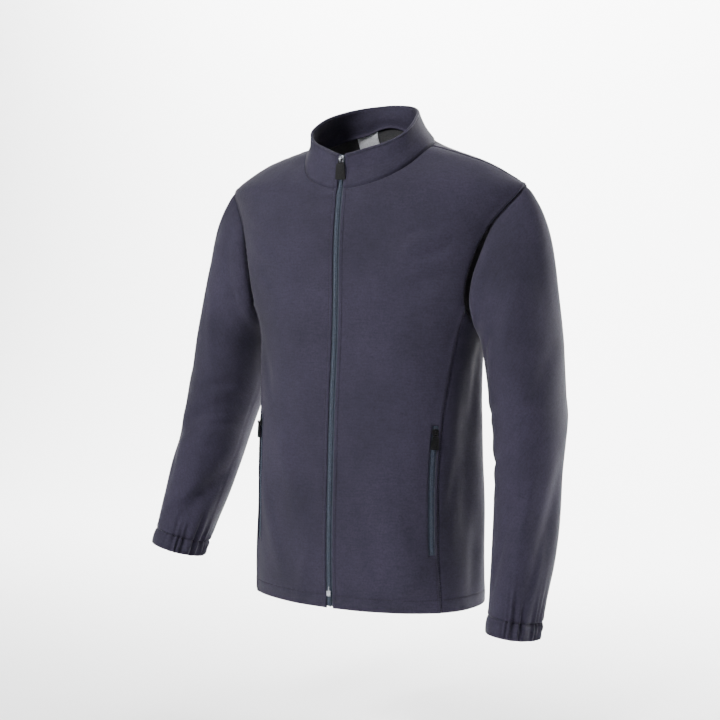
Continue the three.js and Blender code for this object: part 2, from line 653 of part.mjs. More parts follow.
// Places up a seam from the hem to the armhole, and then along the armhole to a turn of it.
function seamEdge(side, seam, seamTurn, armTurns) {
  const lower = LOWER_ROWS.map((z) => seamPlace(side, seam, z));
  const joinPlace = armBody(side, seamTurn);
  const rising = steps(0, 1, SEAM_TOP_STEPS).slice(1, -1);
  const bridge = rising.map((t) => wornNear(side, lower.at(-1).p.clone().lerp(joinPlace.p, t)));
  return [...lower, ...bridge, joinPlace, ...armTurns.map((turn) => armBody(side, turn))];
}

const TURNS = {
  front: steps(FRONT_SEAM_TURN, 0, ARM_STEPS),
  side: steps(FRONT_SEAM_TURN, BACK_SEAM_TURN, SIDE_STEPS),
  back: steps(BACK_SEAM_TURN, 1, ARM_STEPS),
};
const CHEST_ROW = LOWER_ROWS.length - 1;

// The front panel's columns: the zip's edge, the tape's edge, then evenly to the pocket slit's
// two edges and the curved seam.
const EDGE_COLUMNS = [ZIP_SHOWS / 2, TAPE_WIDTH];
const turnAcross = (distance) => (distance * NECKLINE[1].turn) / NECKLINE[1].x;
const EDGE_TURNS = EDGE_COLUMNS.map(turnAcross);
const FRONT_COLUMNS = EDGE_TURNS.length + NECK_FRONT_TURNS.length + SHOULDER_STOPS.length - 1;
const SLIT_COLUMN = FRONT_COLUMNS - 3;

function frontAngles(z) {
  const seam = read(FRONT_SEAM, "z", "angle", z);
  const [zip, tape] = EDGE_COLUMNS.map((distance) => angleAcross(0, z, distance));
  const far = angleAcross(seam, z, -SLIT_FAR);
  const near = angleAcross(seam, z, -SLIT_NEAR);
  return [zip, ...steps(tape, far, SLIT_COLUMN - 1), near, seam];
}

function frontGrid(side) {
  const right = seamEdge(side, FRONT_SEAM, FRONT_SEAM_TURN, TURNS.front.slice(1));
  const lower = LOWER_ROWS.map((z) => frontAngles(z).map((angle) => wornRing(side, angle, z)));
  const top = [
    ...[...EDGE_TURNS, ...NECK_FRONT_TURNS].map((turn) => neckBody(side, turn)),
    ...SHOULDER_STOPS.slice(1, -1).map((along) => shoulderPlace(side, along)),
    right.at(-1),
  ];
  const upperRight = right.slice(CHEST_ROW);
  const rise = shares(upperRight);
  const upColumn = (column) =>
    rise.slice(0, -1).map((v) => {
      const z = lerp(CHEST_Z, top[column].p.z, v);
      return wornRing(side, angleAcross(0, z, EDGE_COLUMNS[column]), z);
    });
  const [zipEdge, tapeEdge] = [0, 1].map((column) => [...upColumn(column), top[column]]);
  const upper = fill(side, {
    bottom: lower.at(-1).slice(1),
    top: top.slice(1),
    left: tapeEdge,
    right: upperRight,
    rise,
    run: shares(lower.at(-1).slice(1)),
  });
  return [...lower, ...upper.slice(1).map((row, i) => [zipEdge[i + 1], ...row])];
}

const slitRow = (row) => LOWER_ROWS[row] >= SLIT_LOW_Z && LOWER_ROWS[row] < SLIT_HIGH_Z;

function frontPanel(side, name) {
  const grid = frontGrid(side);
  const open = (row, column) => slitRow(row) && column === SLIT_COLUMN;
  layer(name, drawBack(grid, { right: true, top: true }), 0, CLOTH, DARK_CLOTH, { side, open });
  return grid;
}

function sidePanel(side, name) {
  const left = seamEdge(side, FRONT_SEAM, FRONT_SEAM_TURN, []);
  const right = seamEdge(side, BACK_SEAM, BACK_SEAM_TURN, []);
  const lower = LOWER_ROWS.map((z) => {
    const [from, to] = [FRONT_SEAM, BACK_SEAM].map((seam) => read(seam, "z", "angle", z));
    return steps(from, to, SIDE_STEPS).map((angle) => wornRing(side, angle, z));
  });
  const top = TURNS.side.map((turn) => armBody(side, turn));
  const upper = fill(side, {
    bottom: lower.at(-1),
    top,
    left: left.slice(CHEST_ROW),
    right: right.slice(CHEST_ROW),
    rise: steps(0, 1, SEAM_TOP_STEPS),
    run: steps(0, 1, SIDE_STEPS),
  });
  const grid = drawBack([...lower, ...upper.slice(1)], { left: true, right: true, top: true });
  layer(name, grid, 0, CLOTH, DARK_CLOTH, { side });
}

// One back panel over both sides; each half runs from its side seam to the centre back.
function halfBack(side) {
  const edge = seamEdge(side, BACK_SEAM, BACK_SEAM_TURN, TURNS.back.slice(1));
  const top = [
    edge.at(-1),
    ...SHOULDER_STOPS.slice(1, -1).reverse().map((along) => shoulderPlace(side, along)),
    ...NECK_BACK_TURNS.map((turn) => neckBody(side, turn)),
  ];
  const columns = top.length - 1;
  const lower = LOWER_ROWS.map((z) =>
    steps(read(BACK_SEAM, "z", "angle", z), 180, columns).map((angle) => wornRing(side, angle, z)),
  );
  const left = edge.slice(CHEST_ROW);
  const rise = shares(left);
  const right = rise.map((v) => wornRing(side, 180, lerp(CHEST_Z, top.at(-1).p.z, v)));
  const bottom = lower.at(-1);
  const upper = fill(side, { bottom, top, left, right, rise, run: shares(bottom) });
  return [...lower, ...upper.slice(1)];
}

function backPanel(name) {
  const left = halfBack(1);
  const right = onSide(-1, halfBack(-1));
  const grid = left.map((row, i) => [...row, ...right[i].slice(0, -1).reverse()]);
  layer(name, drawBack(grid, { left: true, right: true, top: true }), 0, CLOTH, DARK_CLOTH);
  return grid;
}

function sleeve(side, name) {
  const turns = [...TURNS.front].reverse();
  turns.push(...TURNS.side.slice(1), ...TURNS.back.slice(1, -1));
  const rows = [...steps(-1, 0, CAP_ROWS), ...steps(0, 1, TUBE_ROWS).slice(1)];
  const grid = rows.map((along) =>
    turns.map((turn) => {
      return along > -1 ? sleeveAt(side, turn, along) : armholeSeam(side, turn).sleeve;
    }),
  );
  const apart = drawBack(grid, { bottom: true, round: true });
  layer(name, apart, 0, CLOTH, DARK_CLOTH, { side, round: true });
}

// A cuff band: smooth at the front and drawn into gathers round the back by its elastic.
function cuff(side, name) {
  const { down, front, outer } = sleeveFrame(side, 1);
  const { halfWidth, halfDepth } = RINGS_OF[side].at(-1);
  const { from, to } = ELASTIC[side];
  const grid = steps(0, 1, CUFF_ROWS).map((drop) =>
    Array.from({ length: CUFF_STEPS }, (_, i) => {
      const turn = i / CUFF_STEPS;
      const round = (elasticTurn(side, turn) - from) / (to - from);
      const wave = Math.cos(2 * Math.PI * round * CUFF_GATHERS) * (0.55 + 0.45 * drop);
      const gathers = elasticAt(side, turn) * (wave * CUFF_GATHER_DEPTH - ELASTIC_DRAW);
      const n = outer.clone().multiplyScalar(Math.cos(2 * Math.PI * turn) / halfWidth);
      n.addScaledVector(front, Math.sin(2 * Math.PI * turn) / halfDepth).normalize();
      const p = sleeveRing(side, turn, 1).addScaledVector(down, SEAM_GAP + drop * CUFF_HEIGHT);
      return { p: p.addScaledVector(n, gathers + Math.sin(Math.PI * drop) * CUFF_BULGE), n };
    }),
  );
  layer(name, grid, 0, CLOTH, DARK_CLOTH, { side, round: true });
}

// The collar stands on the neckline in two layers with the zip tape's end between them.
const COLLAR_TURNS = [...EDGE_TURNS, ...NECK_FRONT_TURNS, ...NECK_BACK_TURNS.slice(1)];

function collarGrid() {
  const half = (side, up) =>
    COLLAR_TURNS.map((turn) => (up > 0 ? collarAt(side, turn, up) : neckSeam(side, turn).collar));
  return COLLAR_ROWS.map((up) => {
    const right = half(-1, up).slice(0, -1).reverse();
    return [...half(1, up), ...right.map(mirrorPlace)];
  });
}

// Rows of places beside the centre front, hem to collar top, at the named distances; the panel's
// own first two columns follow them.
function zipRows(side, panel, distances) {
  const low = ZIP_END_INSET / (LOWER_ROWS[1] - HEM_Z);
  const body = panel.slice(0, -1).map((row, i) => {
    const edges = [0, 1].map((c) => (i ? row[c] : mixPlaces(row[c], panel[1][c], low)));
    const { z } = edges[0].p;
    return [...distances.map((d) => wornRing(side, angleAcross(0, z, d), z)), ...edges];
  });
  const across = [...distances, ...EDGE_COLUMNS].map(turnAcross);
  const neck = across.map((turn) => neckBody(side, turn));
  const collar = COLLAR_ROWS.slice(1).map((up) =>
    across.map((turn) => collarAt(side, turn, Math.min(up, ZIP_TOP))),
  );
  return [...body, neck, ...collar];
}

function frontZip(panels) {
  const under = CLOTH + LAYER_GAP;
  [
    [1, "zip_tape_left"],
    [-1, "zip_tape_right"],
  ].forEach(([side, name]) => {
    const rows = zipRows(side, panels[side], [SEAM_GAP / 2]);
    layer(name, rows, under, TAPE_THICK, ZIP_CLOTH, { side });
  });
  const half = CHAIN_WIDTH / 2;
  const left = zipRows(1, panels[1], [0, half * 0.6, half]);
  const right = onSide(-1, zipRows(-1, panels[-1], [half * 0.6, half]));
  const rows = left.map((row, i) => [right[i][1], right[i][0], ...row.slice(0, 3)]);
  addChain("zip_chain", rows, [-CHAIN_BEVEL, 0, 0, 0, -CHAIN_BEVEL]);
}

// The zip's chain stands on its tapes and a little out of the cloth's edges.
function addChain(name, rows, profile, side = 1) {
  const placed = onSide(side, rows);
  const outer = placed.map((row) =>
    row.map(({ p, n }, i) => p.clone().addScaledVector(n, CHAIN_FRONT + profile[i])),
  );
  add(name, between(outer, moved(placed, -CLOTH), { flip: side < 0 }), ZIP_CLOTH);
}

// Solids for the small hard pieces, joined or cut as closed meshes.
function solidOf(geometry) {
  const bare = geometry.clone();
  bare.deleteAttribute("normal");
  bare.deleteAttribute("uv");
  const merged = mergeVertices(bare, 1e-4);
  return new wasm.Manifold(
    new wasm.Mesh({
      numProp: 3,
      vertProperties: merged.attributes.position.array,
      triVerts: new Uint32Array(merged.index.array),
    }),
  );
}

function geometryOf(solid) {
  const mesh = solid.getMesh();
  const geometry = new THREE.BufferGeometry();
  geometry.setAttribute("position", new THREE.BufferAttribute(mesh.vertProperties, 3));
  geometry.setIndex(new THREE.BufferAttribute(mesh.triVerts, 1));
  geometry.computeVertexNormals();
  return geometry;
}

function roundedShape(lowWidth, highWidth, low, high, radius) {
  const shape = new THREE.Shape();
  shape.moveTo(-lowWidth / 2 + radius, low);
  shape.lineTo(lowWidth / 2 - radius, low);
  shape.quadraticCurveTo(lowWidth / 2, low, lowWidth / 2, low + radius);
  shape.lineTo(highWidth / 2, high - radius);
  shape.quadraticCurveTo(highWidth / 2, high, highWidth / 2 - radius, high);
  shape.lineTo(-highWidth / 2 + radius, high);
  shape.quadraticCurveTo(-highWidth / 2, high, -highWidth / 2, high - radius);
  shape.lineTo(-lowWidth / 2, low + radius);
  shape.quadraticCurveTo(-lowWidth / 2, low, -lowWidth / 2 + radius, low);
  return shape;
}

const extrude = (shape, depth, curveSegments = 3) =>
  new THREE.ExtrudeGeometry(shape, { depth, bevelEnabled: false, curveSegments });

// In a slider's own frame x is across the zip, y up along it and z out of the garment. The pull's
// bar lies on the x axis at the origin, inside the bridge.
const BAR = 1.6;
const BRIDGE_HOLE = 1.35;
const BRIDGE_WALL = 1.1;
const BRIDGE_WIDTH = 2.6;
const PLATE_THICK = 1.5;
const PLATE_TO_BAR = 3.7;

function sliderGeometry() {
  const plate = extrude(roundedShape(6.4, 9, -6, 5, 1.6), PLATE_THICK);
  plate.translate(0, 0, -PLATE_TO_BAR);
  const arch = new THREE.Shape();
  const reach = BRIDGE_HOLE + BRIDGE_WALL;
  const foot = PLATE_TO_BAR - PLATE_THICK / 2;
  arch.moveTo(-reach, -foot);
  arch.lineTo(-reach, 0);
  arch.absarc(0, 0, reach, Math.PI, 0, true);
  arch.lineTo(reach, -foot);
  arch.closePath();
  const hole = new THREE.Path();
  hole.absarc(0, 0, BRIDGE_HOLE, 0, Math.PI * 2, false);
  arch.holes.push(hole);
  const bridge = extrude(arch, BRIDGE_WIDTH, 6);
  bridge.translate(0, 0, -BRIDGE_WIDTH / 2);
  // the arch's own plane is (along the zip, out), so turn it from xy to yz
  bridge.applyMatrix4(new THREE.Matrix4().makeBasis(vec(0, 1, 0), vec(0, 0, 1), vec(1, 0, 0)));
  return geometryOf(solidOf(plate).add(solidOf(bridge)));
}

function pullGeometry({ length, lowWidth, highWidth }) {
  const shape = roundedShape(lowWidth, highWidth, -length, BAR / 2, 1.2);
  const slot = new THREE.Path();
  const half = BRIDGE_WIDTH / 2 + 0.4;
  const slotLow = -(BRIDGE_HOLE + BRIDGE_WALL + 0.8);
  slot.moveTo(-half, -BAR / 2);
  slot.lineTo(-half, slotLow);
  slot.lineTo(half, slotLow);
  slot.lineTo(half, -BAR / 2);
  slot.closePath();
  shape.holes.push(slot);
  const geometry = extrude(shape, BAR);
  geometry.translate(0, 0, -BAR / 2);
  return geometry;
}

// A group whose own axes are across, up along and out of the cloth at a place on it.
function seat(place, upward, lift) {
  const z = place.n.clone();
  const x = upward.clone().cross(z).normalize();
  const y = z.clone().cross(x).normalize();
  const group = new THREE.Group();
  group.quaternion.setFromRotationMatrix(new THREE.Matrix4().makeBasis(x, y, z));
  group.position.copy(place.p).addScaledVector(z, lift);
  jacket.add(group);
  return group;
}

function frontSlider() {
  const up = SLIDER_UP_COLLAR;
  const rise = collarPoint(1, 0, up + 0.1).sub(collarPoint(1, 0, up - 0.1)).normalize();
  const group = seat(collarAt(1, 0, up), rise, CHAIN_FRONT + LAYER_GAP + PLATE_TO_BAR);
  add("zip_slider", sliderGeometry(), BRIGHT_METAL, group);
  add("zip_pull", pullGeometry(FRONT_PULL), BLACK_PLASTIC, group);
}

function zipBox() {
  const place = wornRing(1, 0, HEM_Z + 9);
  const rise = ringPoint(0, HEM_Z + 12).sub(ringPoint(0, HEM_Z + 6)).normalize();
  const group = seat(place, rise, CHAIN_FRONT + LAYER_GAP);
  const box = extrude(roundedShape(7, 7, -5, 4, 1), BOX_THICK);
  add("zip_box", box, BRIGHT_METAL, group);
}

// A pocket: its zip lies behind the slit, made from the panel's own places, with the slider near
// the top end.
function pocket(side, panel, name) {
  const slit = SLIT_FAR - SLIT_NEAR;
  const first = LOWER_ROWS.indexOf(SLIT_LOW_Z);
  const last = LOWER_ROWS.indexOf(SLIT_HIGH_Z);
  const onRow = (row, across) => {
    const stops = [-1, 0, 1, 2].map((c) => row[SLIT_COLUMN + c]);
    const before = stops[0].p.distanceTo(stops[1].p);
    if (across < 0) return mixPlaces(stops[0], stops[1], 1 + across / before);
    if (across > slit) return mixPlaces(stops[2], stops[3], (across - slit) / SLIT_NEAR);
    return mixPlaces(stops[1], stops[2], across / slit);
  };
  const at = (z, across) => {
    let r = first - 1;
    while (LOWER_ROWS[r + 1] < z) r++;
    const share = (z - LOWER_ROWS[r]) / (LOWER_ROWS[r + 1] - LOWER_ROWS[r]);
    return mixPlaces(onRow(panel[r], across), onRow(panel[r + 1], across), share);
  };
  const inner = LOWER_ROWS.slice(first + 1, last);
  const spill = POCKET_TAPE_SPILL;
  const tapeHeights = [SLIT_LOW_Z - spill, SLIT_LOW_Z, ...inner, SLIT_HIGH_Z, SLIT_HIGH_Z + spill];
  const tape = tapeHeights.map((z) => [-spill, 0, slit, slit + spill].map((across) => at(z, across)));
  layer(`pocket_tape_${name}`, tape, CLOTH + LAYER_GAP, TAPE_THICK, ZIP_CLOTH, { side });
  const middle = slit / 2;
  const half = CHAIN_WIDTH / 2;
  const across = [-half, -half * 0.6, half * 0.6, half].map((offset) => middle + offset);
  const chainHeights = [SLIT_LOW_Z + SEAM_GAP, ...inner, SLIT_HIGH_Z - SEAM_GAP];
  const chain = chainHeights.map((z) => across.map((offset) => at(z, offset)));
  addChain(`pocket_chain_${name}`, chain, [-CHAIN_BEVEL, 0, 0, -CHAIN_BEVEL], side);
  const z = SLIT_HIGH_Z - POCKET_SLIDER_DROP;
  const places = onSide(side, [[at(z, middle), at(z + 5, middle), at(z - 5, middle)]])[0];
  const rise = places[1].p.clone().sub(places[2].p).normalize();
  const group = seat(places[0], rise, CHAIN_FRONT + LAYER_GAP + PLATE_TO_BAR);
  add(`pocket_slider_${name}`, sliderGeometry(), BLACK_PLASTIC, group);
  add(`pocket_pull_${name}`, pullGeometry(POCKET_PULL), BLACK_PLASTIC, group);
}

// The place on a row of the back panel at an x.
function placeAtX(row, x) {
  const next = row.findIndex(({ p }, i) => i > 0 && (row[i - 1].p.x - x) * (p.x - x) <= 0);
  const [from, to] = [row[next - 1], row[next]];
  return mixPlaces(from, to, (x - from.p.x) / (to.p.x - from.p.x));
}

// The label lies on the inside of the back panel, on its top two rows.
function neckLabel(panel) {
  const [low, high] = panel.slice(-2);
  const run = Math.sign(low.at(-1).p.x - low[0].p.x);
  const grid = [LABEL_TOP_DROP + LABEL_HEIGHT, LABEL_TOP_DROP].map((below) =>
    [-1, -0.6, -0.2, 0.2, 0.6, 1].map((step) => {
      const x = LABEL_X + (step * run * LABEL_WIDTH) / 2;
      const [under, edge] = [placeAtX(low, x), placeAtX(high, x)];
      return mixPlaces(edge, under, below / edge.p.distanceTo(under.p));
    }),
  );
  layer("neck_label", grid, CLOTH + LABEL_GAP, LABEL_THICK, LABEL_CLOTH);
}

const frontPanels = { 1: frontPanel(1, "front_left"), [-1]: frontPanel(-1, "front_right") };
sidePanel(1, "side_left");
sidePanel(-1, "side_right");
const backPlaces = backPanel("back");
sleeve(1, "sleeve_left");
sleeve(-1, "sleeve_right");
cuff(1, "cuff_left");
cuff(-1, "cuff_right");
const collar = drawBack(collarGrid(), { bottom: true });
layer("collar_outer", collar, 0, CLOTH, DARK_CLOTH);
layer("collar_inner", collar, CLOTH + TAPE_THICK + 2 * LAYER_GAP, CLOTH, DARK_CLOTH);
frontZip(frontPanels);
frontSlider();
zipBox();
pocket(1, frontPanels[1], "left");
pocket(-1, frontPanels[-1], "right");
neckLabel(backPlaces);

export default jacket;
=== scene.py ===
import math
import bmesh
import bpy
import numpy as np
from mathutils import Matrix, Vector
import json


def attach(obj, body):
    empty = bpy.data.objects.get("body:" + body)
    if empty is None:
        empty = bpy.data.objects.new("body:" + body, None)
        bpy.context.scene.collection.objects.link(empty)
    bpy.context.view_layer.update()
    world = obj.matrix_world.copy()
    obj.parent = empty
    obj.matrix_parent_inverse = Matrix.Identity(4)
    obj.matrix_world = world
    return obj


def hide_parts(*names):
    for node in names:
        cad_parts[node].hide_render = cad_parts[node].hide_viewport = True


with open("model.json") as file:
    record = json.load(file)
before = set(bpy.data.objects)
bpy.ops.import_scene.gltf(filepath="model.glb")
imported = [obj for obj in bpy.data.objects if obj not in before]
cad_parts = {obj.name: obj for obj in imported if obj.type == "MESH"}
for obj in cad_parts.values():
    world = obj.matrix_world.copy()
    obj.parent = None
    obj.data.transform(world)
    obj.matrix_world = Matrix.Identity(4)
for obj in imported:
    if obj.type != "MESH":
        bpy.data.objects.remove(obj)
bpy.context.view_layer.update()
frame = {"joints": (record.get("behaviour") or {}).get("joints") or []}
jacketBody = "jacket"
sides = {1: "Left", -1: "Right"}
print("frame loaded")

# Shapes are worked out in millimetres, on the wearer's left, and mirrored for the right.
mm = 0.001

# level rings of the body, hem to neck
bodyForm = {
    "z": [-690, -600, -470, -380, -300, -266, -240, -205, -160, -120, -85, -62, -40, -22, -2, 10, 24],
    "halfWidth": [189, 185, 182, 180, 180, 187, 199, 213, 222, 230, 245, 252, 222, 186, 126, 94, 70],
    "frontY": [
        -134, -136, -131, -126, -119, -117, -116, -115, -114, -111, -106, -100, -78, -55, -34, -8, 6,
    ],
    "backY": [101, 96, 88, 94, 106, 113, 114, 113, 110, 104, 97, 91, 84, 79, 72, 67, 60],
    "sideY": [-11, -12, -11, -7, -2, 1, 2, 3, 4, 5, 7, 8, 7, 6, 12, 28, 34],
    "square": [2.2, 2.25, 2.3, 2.35, 2.4, 2.4, 2.35, 2.25, 2.15, 2, 1.85, 1.75, 1.8, 1.85, 2, 2, 2],
}
hemZ, chestZ, upperCentreZ = -690, -300, -150

neckline = {
    "turn": [0, 0.14, 0.28, 0.42, 0.55, 0.7, 0.85, 1],
    "x": [0, 36, 68, 92, 101, 90, 52, 0],
    "y": [-102, -96, -78, -49, -5, 34, 55.5, 60],
    "z": [-63, -58, -46, -25, -2, 15, 30, 36],
    "topX": [0, 37, 70, 86, 81, 67, 42, 0],
    "topY": [-96, -80, -62, -40, -10, 22, 50, 63],
    "topZ": [-12, -2, 11, 28, 46, 58, 66, 69],
}
neckPointTurn = 0.55
shoulder = {"along": [0, 0.5, 1], "x": [101, 175, 249], "y": [-4, -4, 8], "z": [-2, -22, -62]}
armhole = {
    "turn": [0, 0.08, 0.16, 0.235, 0.31, 0.38, 0.44, 0.5, 0.56, 0.62, 0.69, 0.765, 0.84, 0.92, 1],
    "x": [249, 234, 216, 201, 191, 187, 186, 187, 187, 189, 194, 203, 216, 234, 249],
    "y": [8, -14, -34, -50, -58, -50, -25, 4, 34, 62, 76, 76, 62, 38, 8],
    "z": [-62, -85, -118, -160, -205, -240, -260, -266, -260, -240, -205, -165, -122, -86, -62],
    "outX": [0.76, 0.76, 0.78, 0.8, 0.8, 0.8, 0.8, 0.8, 0.8, 0.82, 0.8, 0.78, 0.78, 0.76, 0.76],
    "outY": [0, -0.28, -0.38, -0.4, -0.35, -0.2, -0.05, 0, 0.05, 0.2, 0.35, 0.4, 0.38, 0.28, 0],
    "outZ": [
        -0.65, -0.6, -0.5, -0.45, -0.49, -0.57, -0.6, -0.6, -0.6, -0.54, -0.49, -0.48, -0.5, -0.6, -0.65,
    ],
    "reach": [0.8, 0.8, 0.8, 0.75, 0.7, 0.6, 0.6, 0.6, 0.6, 0.6, 0.7, 0.75, 0.8, 0.8, 0.8],
}
frontSeamTurn, backSeamTurn = 0.38, 0.62
frontSeam = {
    "z": [-690, -600, -524, -460, -397, -340, -300],
    "angle": [66.5, 65.5, 65.5, 66.2, 68, 71, 73],
}
backSeam = {"z": [-690, -470, -300], "angle": [119, 117.5, 112]}

sleeveRings = {
    1: {
        "at": [0, 0.2, 0.4, 0.6, 0.8, 1],
        "x": [250, 262, 271, 277, 280, 280],
        "y": [9, -2, -16, -34, -56, -82],
        "z": [-300, -378, -455, -530, -605, -683],
        "halfWidth": [57, 54, 50, 47, 43, 38],
        "halfDepth": [76, 72, 65, 60, 55, 46],
    },
    -1: {
        "at": [0, 0.2, 0.4, 0.6, 0.8, 1],
        "x": [262, 276, 288, 293, 297, 300],
        "y": [16, 16, 2, -22, -52, -88],
        "z": [-297, -362, -425, -485, -545, -611],
        "halfWidth": [58, 57, 53, 50, 46, 40],
        "halfDepth": [77, 74, 69, 64, 59, 49],
    },
}

# creases, listed one by one: angle, z, to angle, to z, width, depth (a trough is negative)
bodyCreases = {
    1: [
        (64, -125, 36, -200, 30, 3),
        (84, -340, 80, -600, 20, -7),
        (100, -420, 98, -660, 24, 5),
        (36, -500, 52, -660, 24, 2.4),
        (132, -330, 150, -470, 26, -5),
        (122, -190, 148, -140, 22, 3.5),
        (69, -96, 50, -118, 8, 1.5),
        (66, -128, 45, -150, 9, 1.9),
        (67, -165, 44, -196, 10, 1.7),
        (68, -205, 52, -240, 11, 1.3),
        (62, -118, 47, -133, 6, -1.3),
        (64, -152, 50, -170, 7, -1.4),
        (93, -300, 88, -420, 12, -3),
        (76, -470, 70, -560, 10, -2.2),
        (90, -560, 84, -680, 12, -2.4),
        (58, -610, 44, -684, 12, 1.5),
        (22, -560, 30, -680, 15, 1.1),
        (12, -100, 30, -86, 9, 1),
        (20, -230, 46, -262, 20, -1.1),
        (118, -300, 140, -356, 11, -3),
        (120, -250, 146, -246, 12, 2.2),
        (142, -410, 172, -432, 12, -2.2),
        (128, -470, 166, -520, 14, 2.1),
        (150, -600, 138, -680, 16, 2.2),
        (168, -300, 154, -380, 14, 1.6),
    ],
    -1: [
        (84, -340, 80, -560, 20, -6),
        (42, -420, 22, -560, 26, 3),
        (130, -350, 152, -500, 26, -5),
        (122, -200, 150, -140, 22, 3.5),
        (70, -104, 52, -130, 8, 1.2),
        (68, -140, 48, -172, 10, 1.5),
        (66, -186, 50, -226, 10, 1.1),
        (64, -128, 50, -146, 6, -1.1),
        (64, -300, 50, -390, 14, -1.6),
        (30, -300, 24, -420, 18, 1),
        (60, -500, 40, -640, 15, 1.6),
        (16, -600, 26, -684, 13, 1.1),
        (92, -420, 86, -640, 12, -2.6),
        (14, -104, 32, -90, 9, 0.9),
        (116, -296, 138, -342, 12, -2.8),
        (118, -262, 150, -254, 13, 2),
        (138, -436, 168, -462, 12, -2.4),
        (126, -520, 160, -560, 14, 1.8),
        (146, -610, 132, -684, 15, 2),
    ],
}
# turn, share of the length, to turn, to share, width, depth
sleeveCreases = {
    1: [
        (0.98, 0.42, 0.12, 0.95, 18, -6),
        (0.34, 0.3, 0.62, 0.36, 22, -4),
        (0.7, 0.2, 0.86, 0.46, 24, -4),
        (0.3, 0.22, 0.46, 0.25, 9, -2.2),
        (0.32, 0.4, 0.5, 0.47, 10, -2.6),
        (0.4, 0.52, 0.56, 0.56, 9, -1.8),
        (0.14, 0.46, 0.2, 0.8, 11, 2),
        (0.04, 0.02, 0.16, 0.24, 11, -1.7),
        (0.2, -0.32, 0.27, 0.14, 11, 2),
        (0.3, -0.2, 0.4, 0.16, 9, -2.2),
        (0.24, 0.62, 0.36, 0.92, 10, -2),
        (0.05, 0.7, 0.1, 0.97, 8, 1.7),
        (0.66, 0.5, 0.82, 0.62, 12, -2.4),
        (0.8, 0.1, 0.92, 0.3, 12, 2.2),
        (0.62, 0.7, 0.78, 0.92, 12, 2),
    ],
    -1: [
        (0.44, 0.3, 0.14, 0.58, 19, -7),
        (0.5, 0.66, 0.3, 0.96, 18, -8),
        (0.7, 0.2, 0.86, 0.46, 24, -4),
        (0.42, 0.2, 0.26, 0.27, 9, -2.4),
        (0.46, 0.44, 0.22, 0.55, 9, -2.2),
        (0.4, 0.36, 0.3, 0.42, 8, 2.1),
        (0.02, 0.1, 0.1, 0.36, 12, 1.9),
        (0.22, -0.3, 0.26, 0.12, 11, 1.9),
        (0.1, 0.5, 0.18, 0.8, 12, -1.8),
        (0.44, 0.74, 0.26, 0.86, 9, 2),
        (0.34, 0.84, 0.2, 0.97, 8, -1.7),
        (0.66, 0.52, 0.84, 0.66, 12, -2.2),
        (0.8, 0.12, 0.94, 0.34, 12, 2),
    ],
}
mmPerDegree, sleeveGirth, sleeveLength = 2.9, 380, 400

# the way each cuff's mouth faces, and the stretch of its turn that the elastic draws in
cuffHang = {
    1: {"mouth": (-0.09, -0.11, -0.97), "elastic": (0.59, 1.23)},
    -1: {"mouth": (0.21, -0.18, -0.9), "elastic": (0.29, 0.93)},
}
slantFrom = 0.55


def smooth(low, high, at):
    t = np.clip((np.asarray(at, float) - low) / (high - low), 0, 1)
    return t * t * (3 - 2 * t)


def tableAt(table, knot, column, at):
    # a smooth curve through the values of a table
    k, v = np.array(table[knot], float), np.array(table[column], float)
    slope = np.empty_like(v)
    slope[1:-1] = (v[2:] - v[:-2]) / (k[2:] - k[:-2])
    slope[0] = (v[1] - v[0]) / (k[1] - k[0])
    slope[-1] = (v[-1] - v[-2]) / (k[-1] - k[-2])
    at = np.asarray(at, float)
    i = np.clip(np.searchsorted(k, at, side="right") - 1, 0, len(k) - 2)
    step = k[i + 1] - k[i]
    t = np.clip((at - k[i]) / step, 0, 1)
    t2, t3 = t * t, t * t * t
    return (
        v[i] * (2 * t3 - 3 * t2 + 1)
        + slope[i] * step * (t3 - 2 * t2 + t)
        + v[i + 1] * (3 * t2 - 2 * t3)
        + slope[i + 1] * step * (t3 - t2)
    )


def pointAt(table, knot, at, names=("x", "y", "z")):
    return np.stack([tableAt(table, knot, name, at) for name in names], -1)


def mirrorEnds(table, knot, odd):
    # a knot more at each end, so that the curve runs on over the centre line
    made = {}
    for name, v in table.items():
        if name == knot:
            ends = (2 * v[0] - v[1], 2 * v[-1] - v[-2])
        else:
            sign = -1 if name in odd else 1
            ends = (sign * v[1], sign * v[-2])
        made[name] = [ends[0], *v, ends[1]]
    return made


def closeEnds(table):
    # a knot more at each end, so that the curve runs on round its ring
    made = {name: [v[-2], *v, v[1]] for name, v in table.items()}
    made["turn"][0] -= 1
    made["turn"][-1] += 1
    return made


neckCurve = mirrorEnds(neckline, "turn", ("x", "topX"))
armCurve = closeEnds(armhole)


def unit(v):
    return v / np.maximum(np.linalg.norm(v, axis=-1, keepdims=True), 1e-9)


def ringAt(z):
    sideY = tableAt(bodyForm, "z", "sideY", z)
    front = sideY - tableAt(bodyForm, "z", "frontY", z)
    back = tableAt(bodyForm, "z", "backY", z) - sideY
    halfWidth = tableAt(bodyForm, "z", "halfWidth", z)
    return halfWidth, front, back, sideY, tableAt(bodyForm, "z", "square", z)


def outsideForm(p):
    # above nought outside the body's form, below it inside
    halfWidth, front, back, sideY, power = ringAt(p[..., 2])
    y = p[..., 1] - sideY
    across = np.power(np.abs(p[..., 0]) / halfWidth, power)
    return across + np.power(np.abs(y) / np.where(y < 0, front, back), power) - 1


def ringPoint(angle, z):
    angle, z = np.broadcast_arrays(np.asarray(angle, float), np.asarray(z, float))
    halfWidth, front, back, sideY, power = ringAt(z)
    sin, cos = np.sin(np.radians(angle)), np.cos(np.radians(angle))
    depth = np.where(cos > 0, front, back)
    total = np.power(np.abs(sin) / halfWidth, power) + np.power(np.abs(cos) / depth, power)
    reach = np.power(total, -1 / power)
    return np.stack([reach * sin, sideY - reach * cos, z], -1)


